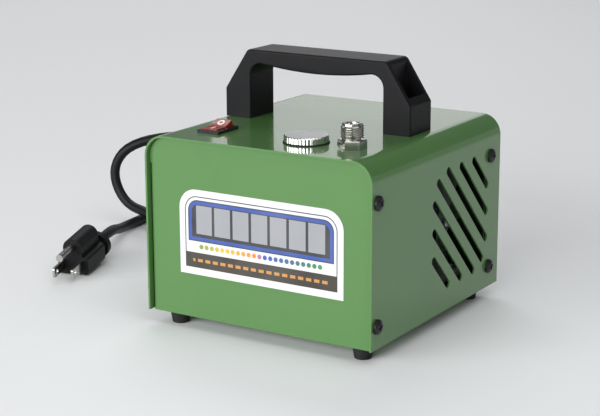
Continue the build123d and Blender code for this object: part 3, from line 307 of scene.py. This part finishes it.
def softened(name, node, finish, width, body="case"):
    """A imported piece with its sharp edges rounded, as paint or a mould leaves them."""
    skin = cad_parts[node].data.copy()
    merged = bmesh.new()
    merged.from_mesh(skin)
    bmesh.ops.remove_doubles(merged, verts=merged.verts, dist=2e-6)
    bmesh.ops.dissolve_limit(merged, angle_limit=radians(1.5), verts=merged.verts, edges=merged.edges)
    merged.to_mesh(skin)
    merged.free()
    skin.materials.clear()
    skin.materials.append(finish.material)
    skin.shade_smooth()
    piece = bpy.data.objects.new(name, skin)
    bpy.context.scene.collection.objects.link(piece)
    rounding = piece.modifiers.new("rounding", "BEVEL")
    rounding.width, rounding.segments = width, 3
    rounding.limit_method, rounding.angle_limit = "ANGLE", radians(30)
    levelled = piece.modifiers.new("levelled", "WEIGHTED_NORMAL")
    levelled.weight, levelled.keep_sharp = 100, True
    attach(piece, body)
    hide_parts(node)


softened("painted_cover", "cover", paint, 0.00055)
softened("painted_chassis", "chassis", paint, 0.00035)

# ---- cover screws: black cross-recess pan heads, four to a side, cut into the flanges ----
# Cold-headed and blackened steel. The same screw in zinc holds the feet, the rubber mounts
# and the handle, so one pattern makes them all: head, recess, shank and the rows they stand in.
black_oxide = Finish("black_oxide", Metallic=0.3)
scuffs = black_oxide.noise(500.0, 3.0)
black_oxide.show(
    Base_Color=black_oxide.mix(scuffs, (0.006, 0.006, 0.007), (0.020, 0.020, 0.021)),
    Roughness=0.3 + 0.2 * scuffs,
)
black_oxide.bump(black_oxide.noise(1800.0, 2.0), 0.00004, 0.3)
zinc = Finish("zinc_plate", Metallic=1.0)
spangle = zinc.noise(350.0, 4.0)
zinc.show(
    Base_Color=zinc.mix(spangle, (0.46, 0.47, 0.48), (0.62, 0.63, 0.64)),
    Roughness=0.3 + 0.2 * spangle,
)
zinc.bump(zinc.noise(1500.0, 2.0), 0.00003, 0.3)


class Pattern(Bench):
    """A shape tree with named sizes, from which pieces are forged."""

    def __init__(self, name, **sizes):
        super().__init__(bpy.data.node_groups.new(name, "GeometryNodeTree"))
        kinds = {int: "NodeSocketInt", float: "NodeSocketFloat", tuple: "NodeSocketVector"}
        for label, size in sizes.items():
            inlet = self.tree.interface.new_socket(label, in_out="INPUT", socket_type=kinds[type(size)])
            inlet.default_value = size
        self.tree.interface.new_socket("Shape", in_out="OUTPUT", socket_type="NodeSocketGeometry")
        self.given = self.tree.nodes.new("NodeGroupInput")

    def size(self, label):
        return Wire(self, self.given.outputs[label])

    def vector(self, x=0.0, y=0.0, z=0.0):
        return self.node("ShaderNodeCombineXYZ", None, {0: x, 1: y, 2: z})

    def moved(self, shape, by=(0, 0, 0), turn=(0, 0, 0)):
        values = {"Geometry": shape, "Translation": by, "Rotation": turn}
        return self.node("GeometryNodeTransform", None, values)

    def joined(self, *shapes):
        made = self.tree.nodes.new("GeometryNodeJoinGeometry")
        for shape in shapes:
            self.tree.links.new(shape.socket, made.inputs[0])
        return Wire(self, made.outputs[0])

    def drum(self, radius, length, sides, bottom, rings=1):
        """A closed cylinder that stands on this height."""
        values = {
            "Vertices": sides,
            "Side Segments": rings,
            "Fill Segments": 5,
            "Radius": radius,
            "Depth": length,
        }
        made = self.node("GeometryNodeMeshCylinder", {"fill_type": "TRIANGLE_FAN"}, values)
        return self.moved(made, by=self.vector(z=length * 0.5 + bottom))

    def cut(self, shape, *cutters):
        made = self.tree.nodes.new("GeometryNodeMeshBoolean")
        made.operation = "DIFFERENCE"
        self.tree.links.new(shape.socket, made.inputs["Mesh 1"])
        for cutter in cutters:
            self.tree.links.new(cutter.socket, made.inputs["Mesh 2"])
        return Wire(self, made.outputs["Mesh"])

    def turned(self, inner, outer, bottom, top, ease, sides):
        """A ring turned on a lathe, with eased edges: a rounded square swept round a circle."""
        sizes = {"Width": outer - inner, "Height": top - bottom}
        section = self.node("GeometryNodeCurvePrimitiveQuadrilateral", None, sizes)
        rounding = {"Curve": section, "Radius": ease, "Count": 2}
        section = self.node("GeometryNodeFilletCurve", {"mode": "POLY"}, rounding)
        sizes = {"Resolution": sides, "Radius": (inner + outer) * 0.5}
        circle = self.node("GeometryNodeCurvePrimitiveCircle", None, sizes)
        ring = self.node("GeometryNodeCurveToMesh", None, {"Curve": circle, "Profile Curve": section})
        return self.moved(ring, by=self.vector(z=(top + bottom) * 0.5))

    def done(self, shape, finish):
        real = self.node("GeometryNodeRealizeInstances", None, {0: shape})
        coating = {"Geometry": real, "Material": finish.material}
        painted = self.node("GeometryNodeSetMaterial", None, coating)
        self.tree.links.new(painted.socket, self.tree.nodes.new("NodeGroupOutput").inputs[0])

    def forge(self, name, body, slot, stands_for=(), crease=35, **sizes):
        """Makes one piece from the pattern, at these sizes, and mounts it."""
        piece = bpy.data.objects.new(name, bpy.data.meshes.new(name))
        bpy.context.scene.collection.objects.link(piece)
        shaping = piece.modifiers.new("shape", "NODES")
        shaping.node_group = self.tree
        for inlet in self.tree.interface.items_tree:
            if inlet.in_out == "INPUT" and inlet.name in sizes:
                shaping[inlet.identifier] = sizes[inlet.name]
        made = bpy.data.meshes.new_from_object(piece.evaluated_get(bpy.context.evaluated_depsgraph_get()))
        piece.modifiers.remove(shaping)
        piece.data = made
        made.shade_smooth()
        made.set_sharp_from_angle(angle=radians(crease))
        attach(piece, body)
        if stands_for:
            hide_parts(*stands_for)


def screw_pattern(name, finish):
    """Cross-recess pan-head screws in a two-way row, heads up before they are turned into place."""
    screw = Pattern(
        name,
        head=0.0042,
        height=0.0026,
        shank=0.0015,
        length=0.009,
        recess=0.0046,
        row_x=0.1,
        row_y=0.1,
        count_x=2,
        count_y=2,
        place=(0.0, 0.0, 0.0),
        turn=(0.0, 0.0, 0.0),
    )
    head, height = screw.size("head"), screw.size("height")
    blank = screw.drum(head, height, 40, 0.0, 6)
    spot = screw.node("GeometryNodeInputPosition")
    at = [screw.node("ShaderNodeSeparateXYZ", None, {0: spot}, out) for out in range(3)]
    across = (at[0] * at[0] + at[1] * at[1]) / (head * head)
    drop = across * across * height * -0.45 * (at[2] / height)
    doming = {"Geometry": blank, "Offset": screw.vector(z=drop)}
    domed = screw.node("GeometryNodeSetPosition", None, doming)
    recess = screw.size("recess")
    arms = []
    for size_x, size_y in ((recess, recess * 0.2), (recess * 0.2, recess)):
        block = screw.vector(size_x, size_y, height * 1.1)
        arm = screw.node("GeometryNodeMeshCube", None, {"Size": block})
        arms.append(screw.moved(arm, by=screw.vector(z=height)))
    head_cut = screw.cut(domed, *arms)
    shank = screw.drum(screw.size("shank"), screw.size("length"), 24, screw.size("length") * -1.0)
    whole = screw.joined(head_cut, shank)
    rows = screw.node(
        "GeometryNodeMeshGrid",
        None,
        {
            "Size X": screw.size("row_x"),
            "Size Y": screw.size("row_y"),
            "Vertices X": screw.size("count_x"),
            "Vertices Y": screw.size("count_y"),
        },
    )
    points = screw.node("GeometryNodeMeshToPoints", None, {"Mesh": rows})
    spin = screw.node("FunctionNodeRandomValue", {"data_type": "FLOAT"}, {2: 0.0, 3: 3.1, "Seed": 7}, 1)
    standing = {"Points": points, "Instance": whole, "Rotation": screw.vector(z=spin)}
    placed = screw.node("GeometryNodeInstanceOnPoints", None, standing)
    screw.done(screw.moved(placed, by=screw.size("place"), turn=screw.size("turn")), finish)
    return screw


black_screw = screw_pattern("black_screws", black_oxide)
for side, face in (("right", 0.075), ("left", -0.075)):
    black_screw.forge(
        "side_screws_" + side,
        "case",
        "black_steel",
        ("side_screws",),
        row_x=0.069,
        row_y=0.1384,
        place=(face, -0.0038, 0.0567),
        turn=(0.0, radians(90 if face > 0 else -90), 0.0),
    )

# ---- feet: four moulded rubber feet, each with its screw sunk in the sole ----
# The rubber is black and matt with fine dust on it. A zinc-plated screw goes up through each
# foot into a nut on the floor of the box.
rubber = Finish("foot_rubber", Specular_IOR_Level=0.2)
dust = rubber.noise(300.0, 4.0)
rubber.show(
    Base_Color=rubber.mix(dust, (0.009, 0.009, 0.010), (0.024, 0.024, 0.025)),
    Roughness=0.6 + 0.25 * dust,
)
rubber.bump(rubber.noise(1600.0, 2.0), 0.00006, 0.5)
for name in ("feet", "motor_mounts", "knob_gasket", "head_gasket", "diaphragm"):
    wear(name, rubber)
zinc_screw = screw_pattern("zinc_screws", zinc)
zinc_screw.forge(
    "foot_screws_zinc",
    "case",
    "zinc",
    ("foot_screws",),
    head=0.0032,
    height=0.0022,
    shank=0.002,
    length=0.0098,
    recess=0.0036,
    row_x=0.124,
    row_y=0.130,
    place=(0.0, 0.0, 0.004),
    turn=(pi, 0.0, 0.0),
)

# ---- handle: a black nylon bridge with slanted, hollow ends ----
# Injection moulded, with a spark-eroded grain on the outside that greys its shine. Each end
# is held by a long screw that stands in its pocket and a nut and washer under the cover.
nylon = Finish("handle_nylon", IOR=1.5, Specular_IOR_Level=0.1)
blush = nylon.noise(35.0, 3.0)
pebble = nylon.noise(3200.0, 2.0)
nylon.show(
    Base_Color=nylon.mix(blush, (0.006, 0.006, 0.007), (0.010, 0.010, 0.011)),
    Roughness=0.27 + 0.1 * blush + 0.08 * pebble,
)
nylon.bump(pebble, 0.00009, 0.55)
softened("grip_bridge", "handle", nylon, 0.0007)
zinc_screw.forge(
    "handle_screws_zinc",
    "case",
    "zinc",
    ("handle_screws",),
    head=0.0046,
    height=0.0028,
    shank=0.0025,
    length=0.024,
    recess=0.0052,
    row_x=0.108,
    count_y=1,
    row_y=0.0,
    place=(-0.0034, 0.0042, 0.126),
)
for name in (
    "handle_washers",
    "handle_nuts",
    "floor_nuts",
    "crankcase_screws",
    "clamp_screw",
    "head_screws",
    "motor_bolts",
    "motor_nuts",
):
    wear(name, zinc)

# ---- mains switch: a red rocker in a black snap-in housing ----
# Both are glossy moulded nylon. The rocker is marked off and on with a printed ring and bar.
gloss_black = Finish("switch_black", IOR=1.5, Specular_IOR_Level=0.15)
haze = gloss_black.noise(120.0, 2.0)
gloss_black.show(
    Base_Color=gloss_black.mix(haze, (0.010, 0.010, 0.011), (0.018, 0.018, 0.019)),
    Roughness=0.18 + 0.14 * haze,
)
gloss_black.bump(gloss_black.noise(900.0, 2.0), 0.00003, 0.3)
softened("switch_frame", "switch_housing", gloss_black, 0.0003)
red = Finish("switch_red", IOR=1.5, Specular_IOR_Level=0.3)
bloom = red.noise(200.0, 2.0)
red.show(
    Base_Color=red.mix(bloom, (0.17, 0.012, 0.005), (0.25, 0.02, 0.008)),
    Roughness=0.16 + 0.12 * bloom,
)
red.bump(red.noise(800.0, 2.0), 0.00003, 0.3)
softened("red_rocker", "switch_rocker", red, 0.0004, "rocker")
wear("rocker_pin", red)
print_white = Finish("switch_print")
fade = print_white.noise(700.0, 2.0)
print_white.show(
    Base_Color=print_white.mix(fade, (0.80, 0.80, 0.78), (0.92, 0.92, 0.90)),
    Roughness=0.4 + 0.15 * fade,
)
marks = Pattern(
    "switch_marks",
    ring=0.0022,
    bar=0.0042,
    line=0.0009,
    thick=0.0004,
    on=(0.0, 0.0, 0.0),
    off=(0.0, 0.0, 0.0),
    slope=(0.0, 0.0, 0.0),
)
ring, line, thick = marks.size("ring"), marks.size("line"), marks.size("thick")
off_ring = marks.turned(ring - line, ring, thick * -0.5, thick * 0.5, thick * 0.2, 40)
on_bar = marks.node("GeometryNodeMeshCube", None, {"Size": marks.vector(line, marks.size("bar"), thick)})
off_mark = marks.moved(off_ring, by=marks.size("off"), turn=marks.size("slope"))
on_mark = marks.moved(on_bar, by=marks.size("on"))
marks.done(marks.joined(off_mark, on_mark), print_white)
marks.forge(
    "rocker_marks",
    "rocker",
    "red_gloss",
    on=(-0.0443, -0.0535, 0.11647),
    off=(-0.0443, -0.04568, 0.11813),
    slope=(radians(24), 0.0, 0.0),
)

# ---- bleed valve cap: a chromed brass cap with a fluted rim, pressed on the needle's stem ----
# Turned from bar, knurled with straight flutes, plated, then faced on top, which leaves
# fine rings in a satin disc inside the bright rim.
knob_centre = (0.0168, -0.0509)
disc_above, disc_radius, ring_rate = 0.1184, 0.0118, 26000.0
chrome = Finish("cap_chrome", Metallic=1.0)
smear = chrome.noise(130.0, 3.0)
from_middle = chrome.node(
    "ShaderNodeVectorMath", {"operation": "SUBTRACT"}, {0: chrome.place, 1: (*knob_centre, 0.0)}
)
spread = [chrome.node("ShaderNodeSeparateXYZ", None, {0: from_middle}, out) for out in range(3)]
from_axis = (spread[0] * spread[0] + spread[1] * spread[1]) ** 0.5
faced = (spread[2] > disc_above) * (from_axis < disc_radius)
rings = (from_axis * ring_rate).sine() * faced
chrome.show(
    Base_Color=chrome.mix(
        faced,
        (0.80, 0.80, 0.79),
        chrome.mix(smear, (0.60, 0.61, 0.61), (0.70, 0.71, 0.71)),
    ),
    Roughness=0.10 + 0.08 * smear + 0.22 * faced,
)
chrome.bump(rings, 0.000012, 0.5)
cap = Pattern(
    "fluted_cap",
    radius=0.0127,
    height=0.0036,
    flutes=40,
    flute=0.00035,
    lip=0.0007,
    skin=0.0014,
    cavity=0.0104,
    place=(0.0, 0.0, 0.0),
)
radius, height = cap.size("radius"), cap.size("height")
blank = cap.drum(radius, height, cap.size("flutes") * 6, 0.0, 6)
spot = cap.node("GeometryNodeInputPosition")
x, y, z = [cap.node("ShaderNodeSeparateXYZ", None, {0: spot}, out) for out in range(3)]
on_rim = (x * x + y * y) ** 0.5 > radius * 0.99
wave = (cap.maths("ARCTAN2", y, x) * cap.size("flutes") + pi / 2).sine()
below_lip = z < height * 0.9
inset = on_rim * (below_lip * (0.5 - 0.5 * wave) * cap.size("flute") + (1 - below_lip) * cap.size("lip"))
slimmer = inset * -1.0 / radius
shift = cap.vector(x * slimmer, y * slimmer, 0.0)
fluted = cap.node("GeometryNodeSetPosition", None, {"Geometry": blank, "Offset": shift})
hollow = cap.drum(cap.size("cavity"), height, 64, cap.size("skin") * -1.0)
cap.done(cap.moved(cap.cut(fluted, hollow), by=cap.size("place")), chrome)
cap.forge("bleed_cap", "knob", "chrome", ("pressure_knob",), place=(*knob_centre, 0.1149))

# ---- air outlet: a nickelled brass nipple, hexagon below and parallel thread above ----
# Machined from hexagon bar. The crests are cut sharp, so the ridge is a triangle that
# winds round the core at the thread's pitch; the mouth is bored and eased.
nipple = Pattern(
    "threaded_nipple",
    core=0.00572,
    crest=0.00658,
    pitch=0.001337,
    thread=0.0085,
    hexagon=0.008256,
    flats=0.005,
    length=0.009,
    bore=0.0032,
    shank=0.006,
    drop=0.0092,
    place=(0.0, 0.0, 0.0),
)
core, crest, pitch = nipple.size("core"), nipple.size("crest"), nipple.size("pitch")
flats, bore, length = nipple.size("flats"), nipple.size("bore"), nipple.size("length")
bar = nipple.drum(nipple.size("hexagon"), flats, 6, 0.0, 8)
spot = nipple.node("GeometryNodeInputPosition")
x, y, z = [nipple.node("ShaderNodeSeparateXYZ", None, {0: spot}, out) for out in range(3)]
# The hexagon's upper edge is turned in a little.
bevelled = (z > flats * 0.95) * -0.09
turned_in = {"Geometry": bar, "Offset": nipple.vector(x * bevelled, y * bevelled, 0.0)}
bar = nipple.node("GeometryNodeSetPosition", None, turned_in)
bar = nipple.moved(bar, turn=(0, 0, radians(30)))
drilled = nipple.cut(bar, nipple.drum(bore, flats * 3.0, 40, flats * -1.0))
stem = nipple.turned(bore, core, flats * 0.9, flats + length, 0.0003, 72)
lower = nipple.turned(bore, nipple.size("shank"), nipple.size("drop") * -1.0, flats * 0.1, 0.0003, 64)
ridge = nipple.node(
    "GeometryNodeCurvePrimitiveQuadrilateral",
    {"mode": "POINTS"},
    {
        "Point 1": nipple.vector(y=pitch * -0.46),
        "Point 2": nipple.vector(crest - core),
        "Point 3": nipple.vector(y=pitch * 0.46),
        "Point 4": nipple.vector(-0.0002),
    },
)
helix = nipple.node(
    "GeometryNodeCurveSpiral",
    None,
    {
        "Resolution": 48,
        "Rotations": nipple.size("thread") / pitch - 1.0,
        "Start Radius": core,
        "End Radius": core,
        "Height": nipple.size("thread") - pitch,
        "Reverse": True,
    },
)
helix = nipple.node("GeometryNodeSetCurveNormal", {"mode": "Z_UP"}, {"Curve": helix})
sweeping = {"Curve": helix, "Profile Curve": ridge, "Fill Caps": True}
screwed = nipple.node("GeometryNodeCurveToMesh", None, sweeping)
screwed = nipple.moved(screwed, by=nipple.vector(z=flats + pitch * 0.6))
nipple.done(nipple.moved(nipple.joined(drilled, stem, lower, screwed), by=nipple.size("place")), nickel)
nipple.forge("outlet_nipple", "case", "nickel", ("outlet_fitting",), place=(0.0463, -0.0509, 0.114))

brass = Finish("machined_brass", Metallic=1.0)
tarnish = brass.noise(180.0, 4.0)
brass.show(
    Base_Color=brass.mix(tarnish, (0.52, 0.36, 0.14), (0.72, 0.54, 0.24)),
    Roughness=0.24 + 0.2 * tarnish,
)
brass.bump(brass.noise(1200.0, 2.0), 0.00003, 0.3)
for name in (
    "outlet_elbow",
    "valve_body",
    "valve_stem",
    "head_elbow",
    "switch_terminals",
    "shaft_bushes",
):
    wear(name, brass)

# ---- front label: a printed plastic film with an arched top, stuck to the panel ----
# Plain decoration: a dark hairline inside the white edge, a blue arch round upright grey bars
# on a dark field, a row of coloured beads and a charcoal foot with amber dashes.
film = Finish("label_print", Coat_Roughness=0.1, IOR=1.45, Specular_IOR_Level=0.2)
label_left, label_right, label_head = -0.053, 0.056, 0.0848
along, up = film.axis("X"), film.axis("Z")
middle = (label_left + label_right) / 2


def arch(inset, foot, bend):
    """1 inside an arched panel that lies this far inside the label's edge, 0 outside it."""
    half = (label_right - label_left) / 2 - inset
    head = label_head - inset
    side = film.maths("MAXIMUM", abs(along - middle) - (half - bend), 0.0)
    rise = film.maths("MAXIMUM", up - (head - bend), 0.0)
    return ((side * side + rise * rise) ** 0.5 < bend) * (up > foot) * (abs(along - middle) < half)


white, ink = (0.60, 0.61, 0.64), (0.012, 0.014, 0.026)
blue, grey, pale_grey = (0.016, 0.060, 0.29), (0.20, 0.21, 0.235), (0.30, 0.31, 0.335)
art = film.mix(arch(0.0038, 0.0388, 0.0085), white, ink)
art = film.mix(arch(0.0044, 0.0394, 0.0079), art, white)
art = film.mix(arch(0.0060, 0.0545, 0.0066), art, ink)
art = film.mix(arch(0.0066, 0.0551, 0.0060), art, blue)
art = film.mix(arch(0.0086, 0.0571, 0.0042), art, ink)
bar_pitch, bar_share, bar_height, bar_half, bar_reach = 0.0125, 0.43, 0.0695, 0.0105, 0.0437
bar_step = (along - middle) / bar_pitch + 0.5
in_step = abs(bar_step - film.maths("FLOOR", bar_step) - 0.5) < bar_share
bars = in_step * (abs(up - bar_height) < bar_half) * (abs(along - middle) < bar_reach)
weave_rate = 5200.0
weave = ((along * weave_rate).sine() * (up * weave_rate).sine() + 1.0) * 0.5
art = film.mix(arch(0.0091, 0.0576, 0.0037) * bars, art, film.mix(weave, grey, pale_grey))
bead_pitch, bead_radius, bead_height, bead_count = 0.0036, 0.0014, 0.0515, 24
step = (along - middle) / bead_pitch + 0.5
slot_middle = film.maths("FLOOR", step)
bead_x, bead_y = (step - slot_middle - 0.5) * bead_pitch, up - bead_height
bead = (bead_x * bead_x + bead_y * bead_y) ** 0.5 < bead_radius
bead = bead * (abs(slot_middle) < bead_count / 2 - 0.5)
beads = film.node(
    "ShaderNodeValToRGB",
    {
        "stops": (
            (0.0, (0.06, 0.24, 0.03)),
            (0.22, (0.58, 0.40, 0.04)),
            (0.46, (0.66, 0.19, 0.015)),
            (0.54, (0.02, 0.07, 0.38)),
            (0.75, (0.03, 0.10, 0.15)),
            (1.0, (0.03, 0.24, 0.05)),
        )
    },
    {0: slot_middle / bead_count + 0.5},
)
art = film.mix(bead, art, beads)
foot_low, foot_high, foot_reach = 0.0388, 0.0478, 0.0507
foot_panel = (up > foot_low) * (up < foot_high) * (abs(along - middle) < foot_reach)
art = film.mix(foot_panel, art, (0.022, 0.018, 0.017))
dash_pitch, dash_share, dash_height, dash_half, dash_reach = 0.0052, 0.33, 0.0433, 0.0009, 0.0455
dash_step = along / dash_pitch
dash = abs(dash_step - film.maths("FLOOR", dash_step) - 0.5) < dash_share
dash = dash * (abs(up - dash_height) < dash_half)
art = film.mix(dash * (abs(along - middle) < dash_reach), art, (0.46, 0.21, 0.05))
yellowing = film.noise(40.0, 2.0)
film.show(
    Base_Color=film.mix(yellowing * 0.12, art, (0.70, 0.66, 0.55)),
    Roughness=0.30 + 0.12 * yellowing,
    Coat_Weight=0.12 + 0.1 * yellowing,
)
film.bump(film.noise(700.0, 2.0), 0.00002, 0.3)
wear("front_label", film)

# ---- motor: shaded-pole stator of stacked laminations between two cast end bells ----
# The stack shows its sheets as fine lines across the shaft. Pressure-cast aluminium is
# dull and slightly pitted; the shaft, bearing and clamp are ground steel.
stack = Finish("laminations", Metallic=0.85)
sheet_rate = 6283.0
sheets = (stack.axis("X") * sheet_rate).sine()
oil = stack.noise(160.0, 3.0)
stack.show(Base_Color=stack.mix(oil, (0.16, 0.16, 0.17), (0.30, 0.29, 0.28)), Roughness=0.4 + 0.2 * oil)
stack.bump(sheets, 0.00006, 0.8)
for name in ("stator_core", "rotor_core"):
    wear(name, stack)
cast = Finish("cast_aluminium", Metallic=0.9)
pits = cast.noise(700.0, 4.0)
cast.show(Base_Color=cast.mix(pits, (0.42, 0.43, 0.44), (0.58, 0.59, 0.60)), Roughness=0.42 + 0.2 * pits)
cast.bump(pits, 0.00008, 0.5)
for name in (
    "motor_base",
    "end_bell_left",
    "end_bell_right",
    "eccentric",
    "connecting_rod",
    "crankcase",
    "valve_plate",
    "pump_head",
):
    wear(name, cast)
steel = Finish("ground_steel", Metallic=1.0)
grind = steel.noise(900.0, 2.0, (1.0, 12.0, 12.0))
steel.show(
    Base_Color=steel.mix(grind, (0.50, 0.50, 0.51), (0.66, 0.66, 0.67)),
    Roughness=0.2 + 0.16 * grind,
)
steel.bump(grind, 0.00002, 0.3)
for name in ("motor_shaft", "rod_bearing", "diaphragm_clamp", "reed_valves"):
    wear(name, steel)
zinc_screw.forge(
    "mount_screws_zinc",
    "case",
    "zinc",
    ("mount_screws",),
    head=0.0032,
    height=0.0022,
    shank=0.002,
    length=0.0139,
    recess=0.0036,
    row_x=0.084,
    row_y=0.060,
    place=(0.011, 0.027, 0.0086),
    turn=(pi, 0.0, 0.0),
)

# ---- windings: four coils of enamelled copper wire, one round each pole ----
# Wound on a former in layers and varnished, so single wires stand out as ridges.
copper = Finish("enamelled_copper", Metallic=0.7)
varnish = copper.noise(260.0, 3.0)
copper.show(
    Base_Color=copper.mix(varnish, (0.26, 0.08, 0.03), (0.46, 0.17, 0.07)),
    Roughness=0.28 + 0.2 * varnish,
)
copper.bump(copper.noise(1500.0, 2.0), 0.00003, 0.3)
winding = Pattern(
    "pole_windings",
    run=0.0386,
    span=0.0156,
    wire=0.0005,
    rows=4,
    inner=0.0248,
    place=(0.0, 0.0, 0.0),
)
run, span, wire = winding.size("run"), winding.size("span"), winding.size("wire")
hoops = []
for layer in range(4):
    out_by = wire * (2.0 * layer + 1.1)
    sides = {"Width": run + out_by * 2.0, "Height": span + out_by * 2.0}
    hoop = winding.node("GeometryNodeCurvePrimitiveQuadrilateral", None, sides)
    rounding = {"Curve": hoop, "Radius": out_by, "Count": 4}
    hoop = winding.node("GeometryNodeFilletCurve", {"mode": "POLY"}, rounding)
    round_wire = winding.node("GeometryNodeCurvePrimitiveCircle", None, {"Resolution": 7, "Radius": wire})
    bending = {"Curve": hoop, "Profile Curve": round_wire}
    hoops.append(winding.node("GeometryNodeCurveToMesh", None, bending))
row = winding.node(
    "GeometryNodeMeshLine",
    None,
    {
        "Count": winding.size("rows"),
        "Start Location": winding.vector(z=winding.size("inner") + wire),
        "Offset": winding.vector(z=wire * 2.0),
    },
)
stacked = {"Points": row, "Instance": winding.joined(*hoops)}
coil = winding.node("GeometryNodeInstanceOnPoints", None, stacked)
poles = [winding.moved(coil, turn=(radians(90 * quarter), 0, 0)) for quarter in range(4)]
winding.done(winding.moved(winding.joined(*poles), by=winding.size("place")), copper)
winding.forge(
    "copper_windings", "case", "copper", ("stator_coils",), crease=60, place=(0.011, 0.027, 0.0585)
)

# ---- fan, pipes and intake filter: moulded fan, grey tube, pressed felt ----
# The fan turns with the shaft and cools the motor. The tubes carry the air from the pump to
# the outlet, and the felt keeps dust out of the pump's intake.
grey_plastic = Finish("grey_plastic", IOR=1.5)
flow = grey_plastic.noise(80.0, 3.0)
grey_plastic.show(
    Base_Color=grey_plastic.mix(flow, (0.030, 0.031, 0.033), (0.050, 0.051, 0.054)),
    Roughness=0.35 + 0.15 * flow,
)
grey_plastic.bump(grey_plastic.noise(1500.0, 2.0), 0.00004, 0.3)
for name in ("cooling_fan", "pump_pipe", "outlet_pipe"):
    wear(name, grey_plastic)
felt = Finish("intake_felt")
fibre = felt.noise(2500.0, 5.0)
felt.show(
    Base_Color=felt.mix(fibre, (0.38, 0.36, 0.32), (0.62, 0.60, 0.55)),
    Roughness=0.85 + 0.1 * fibre,
)
felt.bump(fibre, 0.0002, 0.8)
wear("intake_filter", felt)

# ---- table and light: a pale card sweep under five soft lights ----
# The strongest light stands in front, on the label's side. The others are above, over the
# table, behind and at the right. The card rises in a curve at the back.
table_front, table_back, table_half, rise_radius = -3.0, 2.0, 4.0, 1.2
sweep_points = [(table_front, 0.0), (table_back, 0.0)]
for corner in range(1, 9):
    lean = radians(8 * corner)
    sweep_points.append((table_back + rise_radius * sin(lean), rise_radius * (1 - cos(lean))))
corners = [(side * table_half, depth, rise) for depth, rise in sweep_points for side in (-1, 1)]
faces = [(2 * k, 2 * k + 1, 2 * k + 3, 2 * k + 2) for k in range(len(sweep_points) - 1)]
sweep = bpy.data.meshes.new("table_sweep")
sweep.from_pydata(corners, [], faces)
sweep.shade_smooth()
table = bpy.data.objects.new("table_sweep", sweep)
bpy.context.scene.collection.objects.link(table)
card = Finish("pale_card", Roughness=0.75)
tone = card.noise(1.4, 1.0)
card.show(Base_Color=card.mix(tone, (0.78, 0.79, 0.80), (0.81, 0.82, 0.83)))
sweep.materials.append(card.material)

sky = bpy.data.worlds.new("studio")
sky.use_nodes = True
sky.node_tree.nodes["Background"].inputs["Color"].default_value = (0.93, 0.96, 1.0, 1.0)
sky.node_tree.nodes["Background"].inputs["Strength"].default_value = 0.14
bpy.context.scene.world = sky
bpy.context.scene.view_settings.view_transform = "Standard"


def softbox(name, place, target, width, depth, power):
    """A rectangular soft light that faces its target."""
    lamp = bpy.data.lights.new(name, "AREA")
    lamp.shape, lamp.size, lamp.size_y, lamp.energy = "RECTANGLE", width, depth, power
    light = bpy.data.objects.new(name, lamp)
    facing = (Vector(target) - Vector(place)).to_track_quat("-Z", "Y").to_matrix().to_4x4()
    light.matrix_world = Matrix.Translation(place) @ facing
    bpy.context.scene.collection.objects.link(light)


softbox("overhead", (0.5, -0.2, 1.6), (0.0, 0.0, 0.0), 1.8, 1.4, 7.5)
softbox("front", (-0.5, -2.2, 0.6), (0.0, 0.0, 0.06), 3.0, 1.3, 84.0)
softbox("table", (-1.2, 1.3, 1.9), (-1.2, 1.3, 0.0), 2.0, 1.0, 20.0)
softbox("rear", (-1.5, 3.0, 1.3), (0.0, 0.0, 0.1), 1.2, 1.3, 3.9)
softbox("right", (1.3, -0.6, 1.5), (0.4, 0.0, 0.0), 1.4, 1.2, 8.0)

bpy.context.view_layer.update()
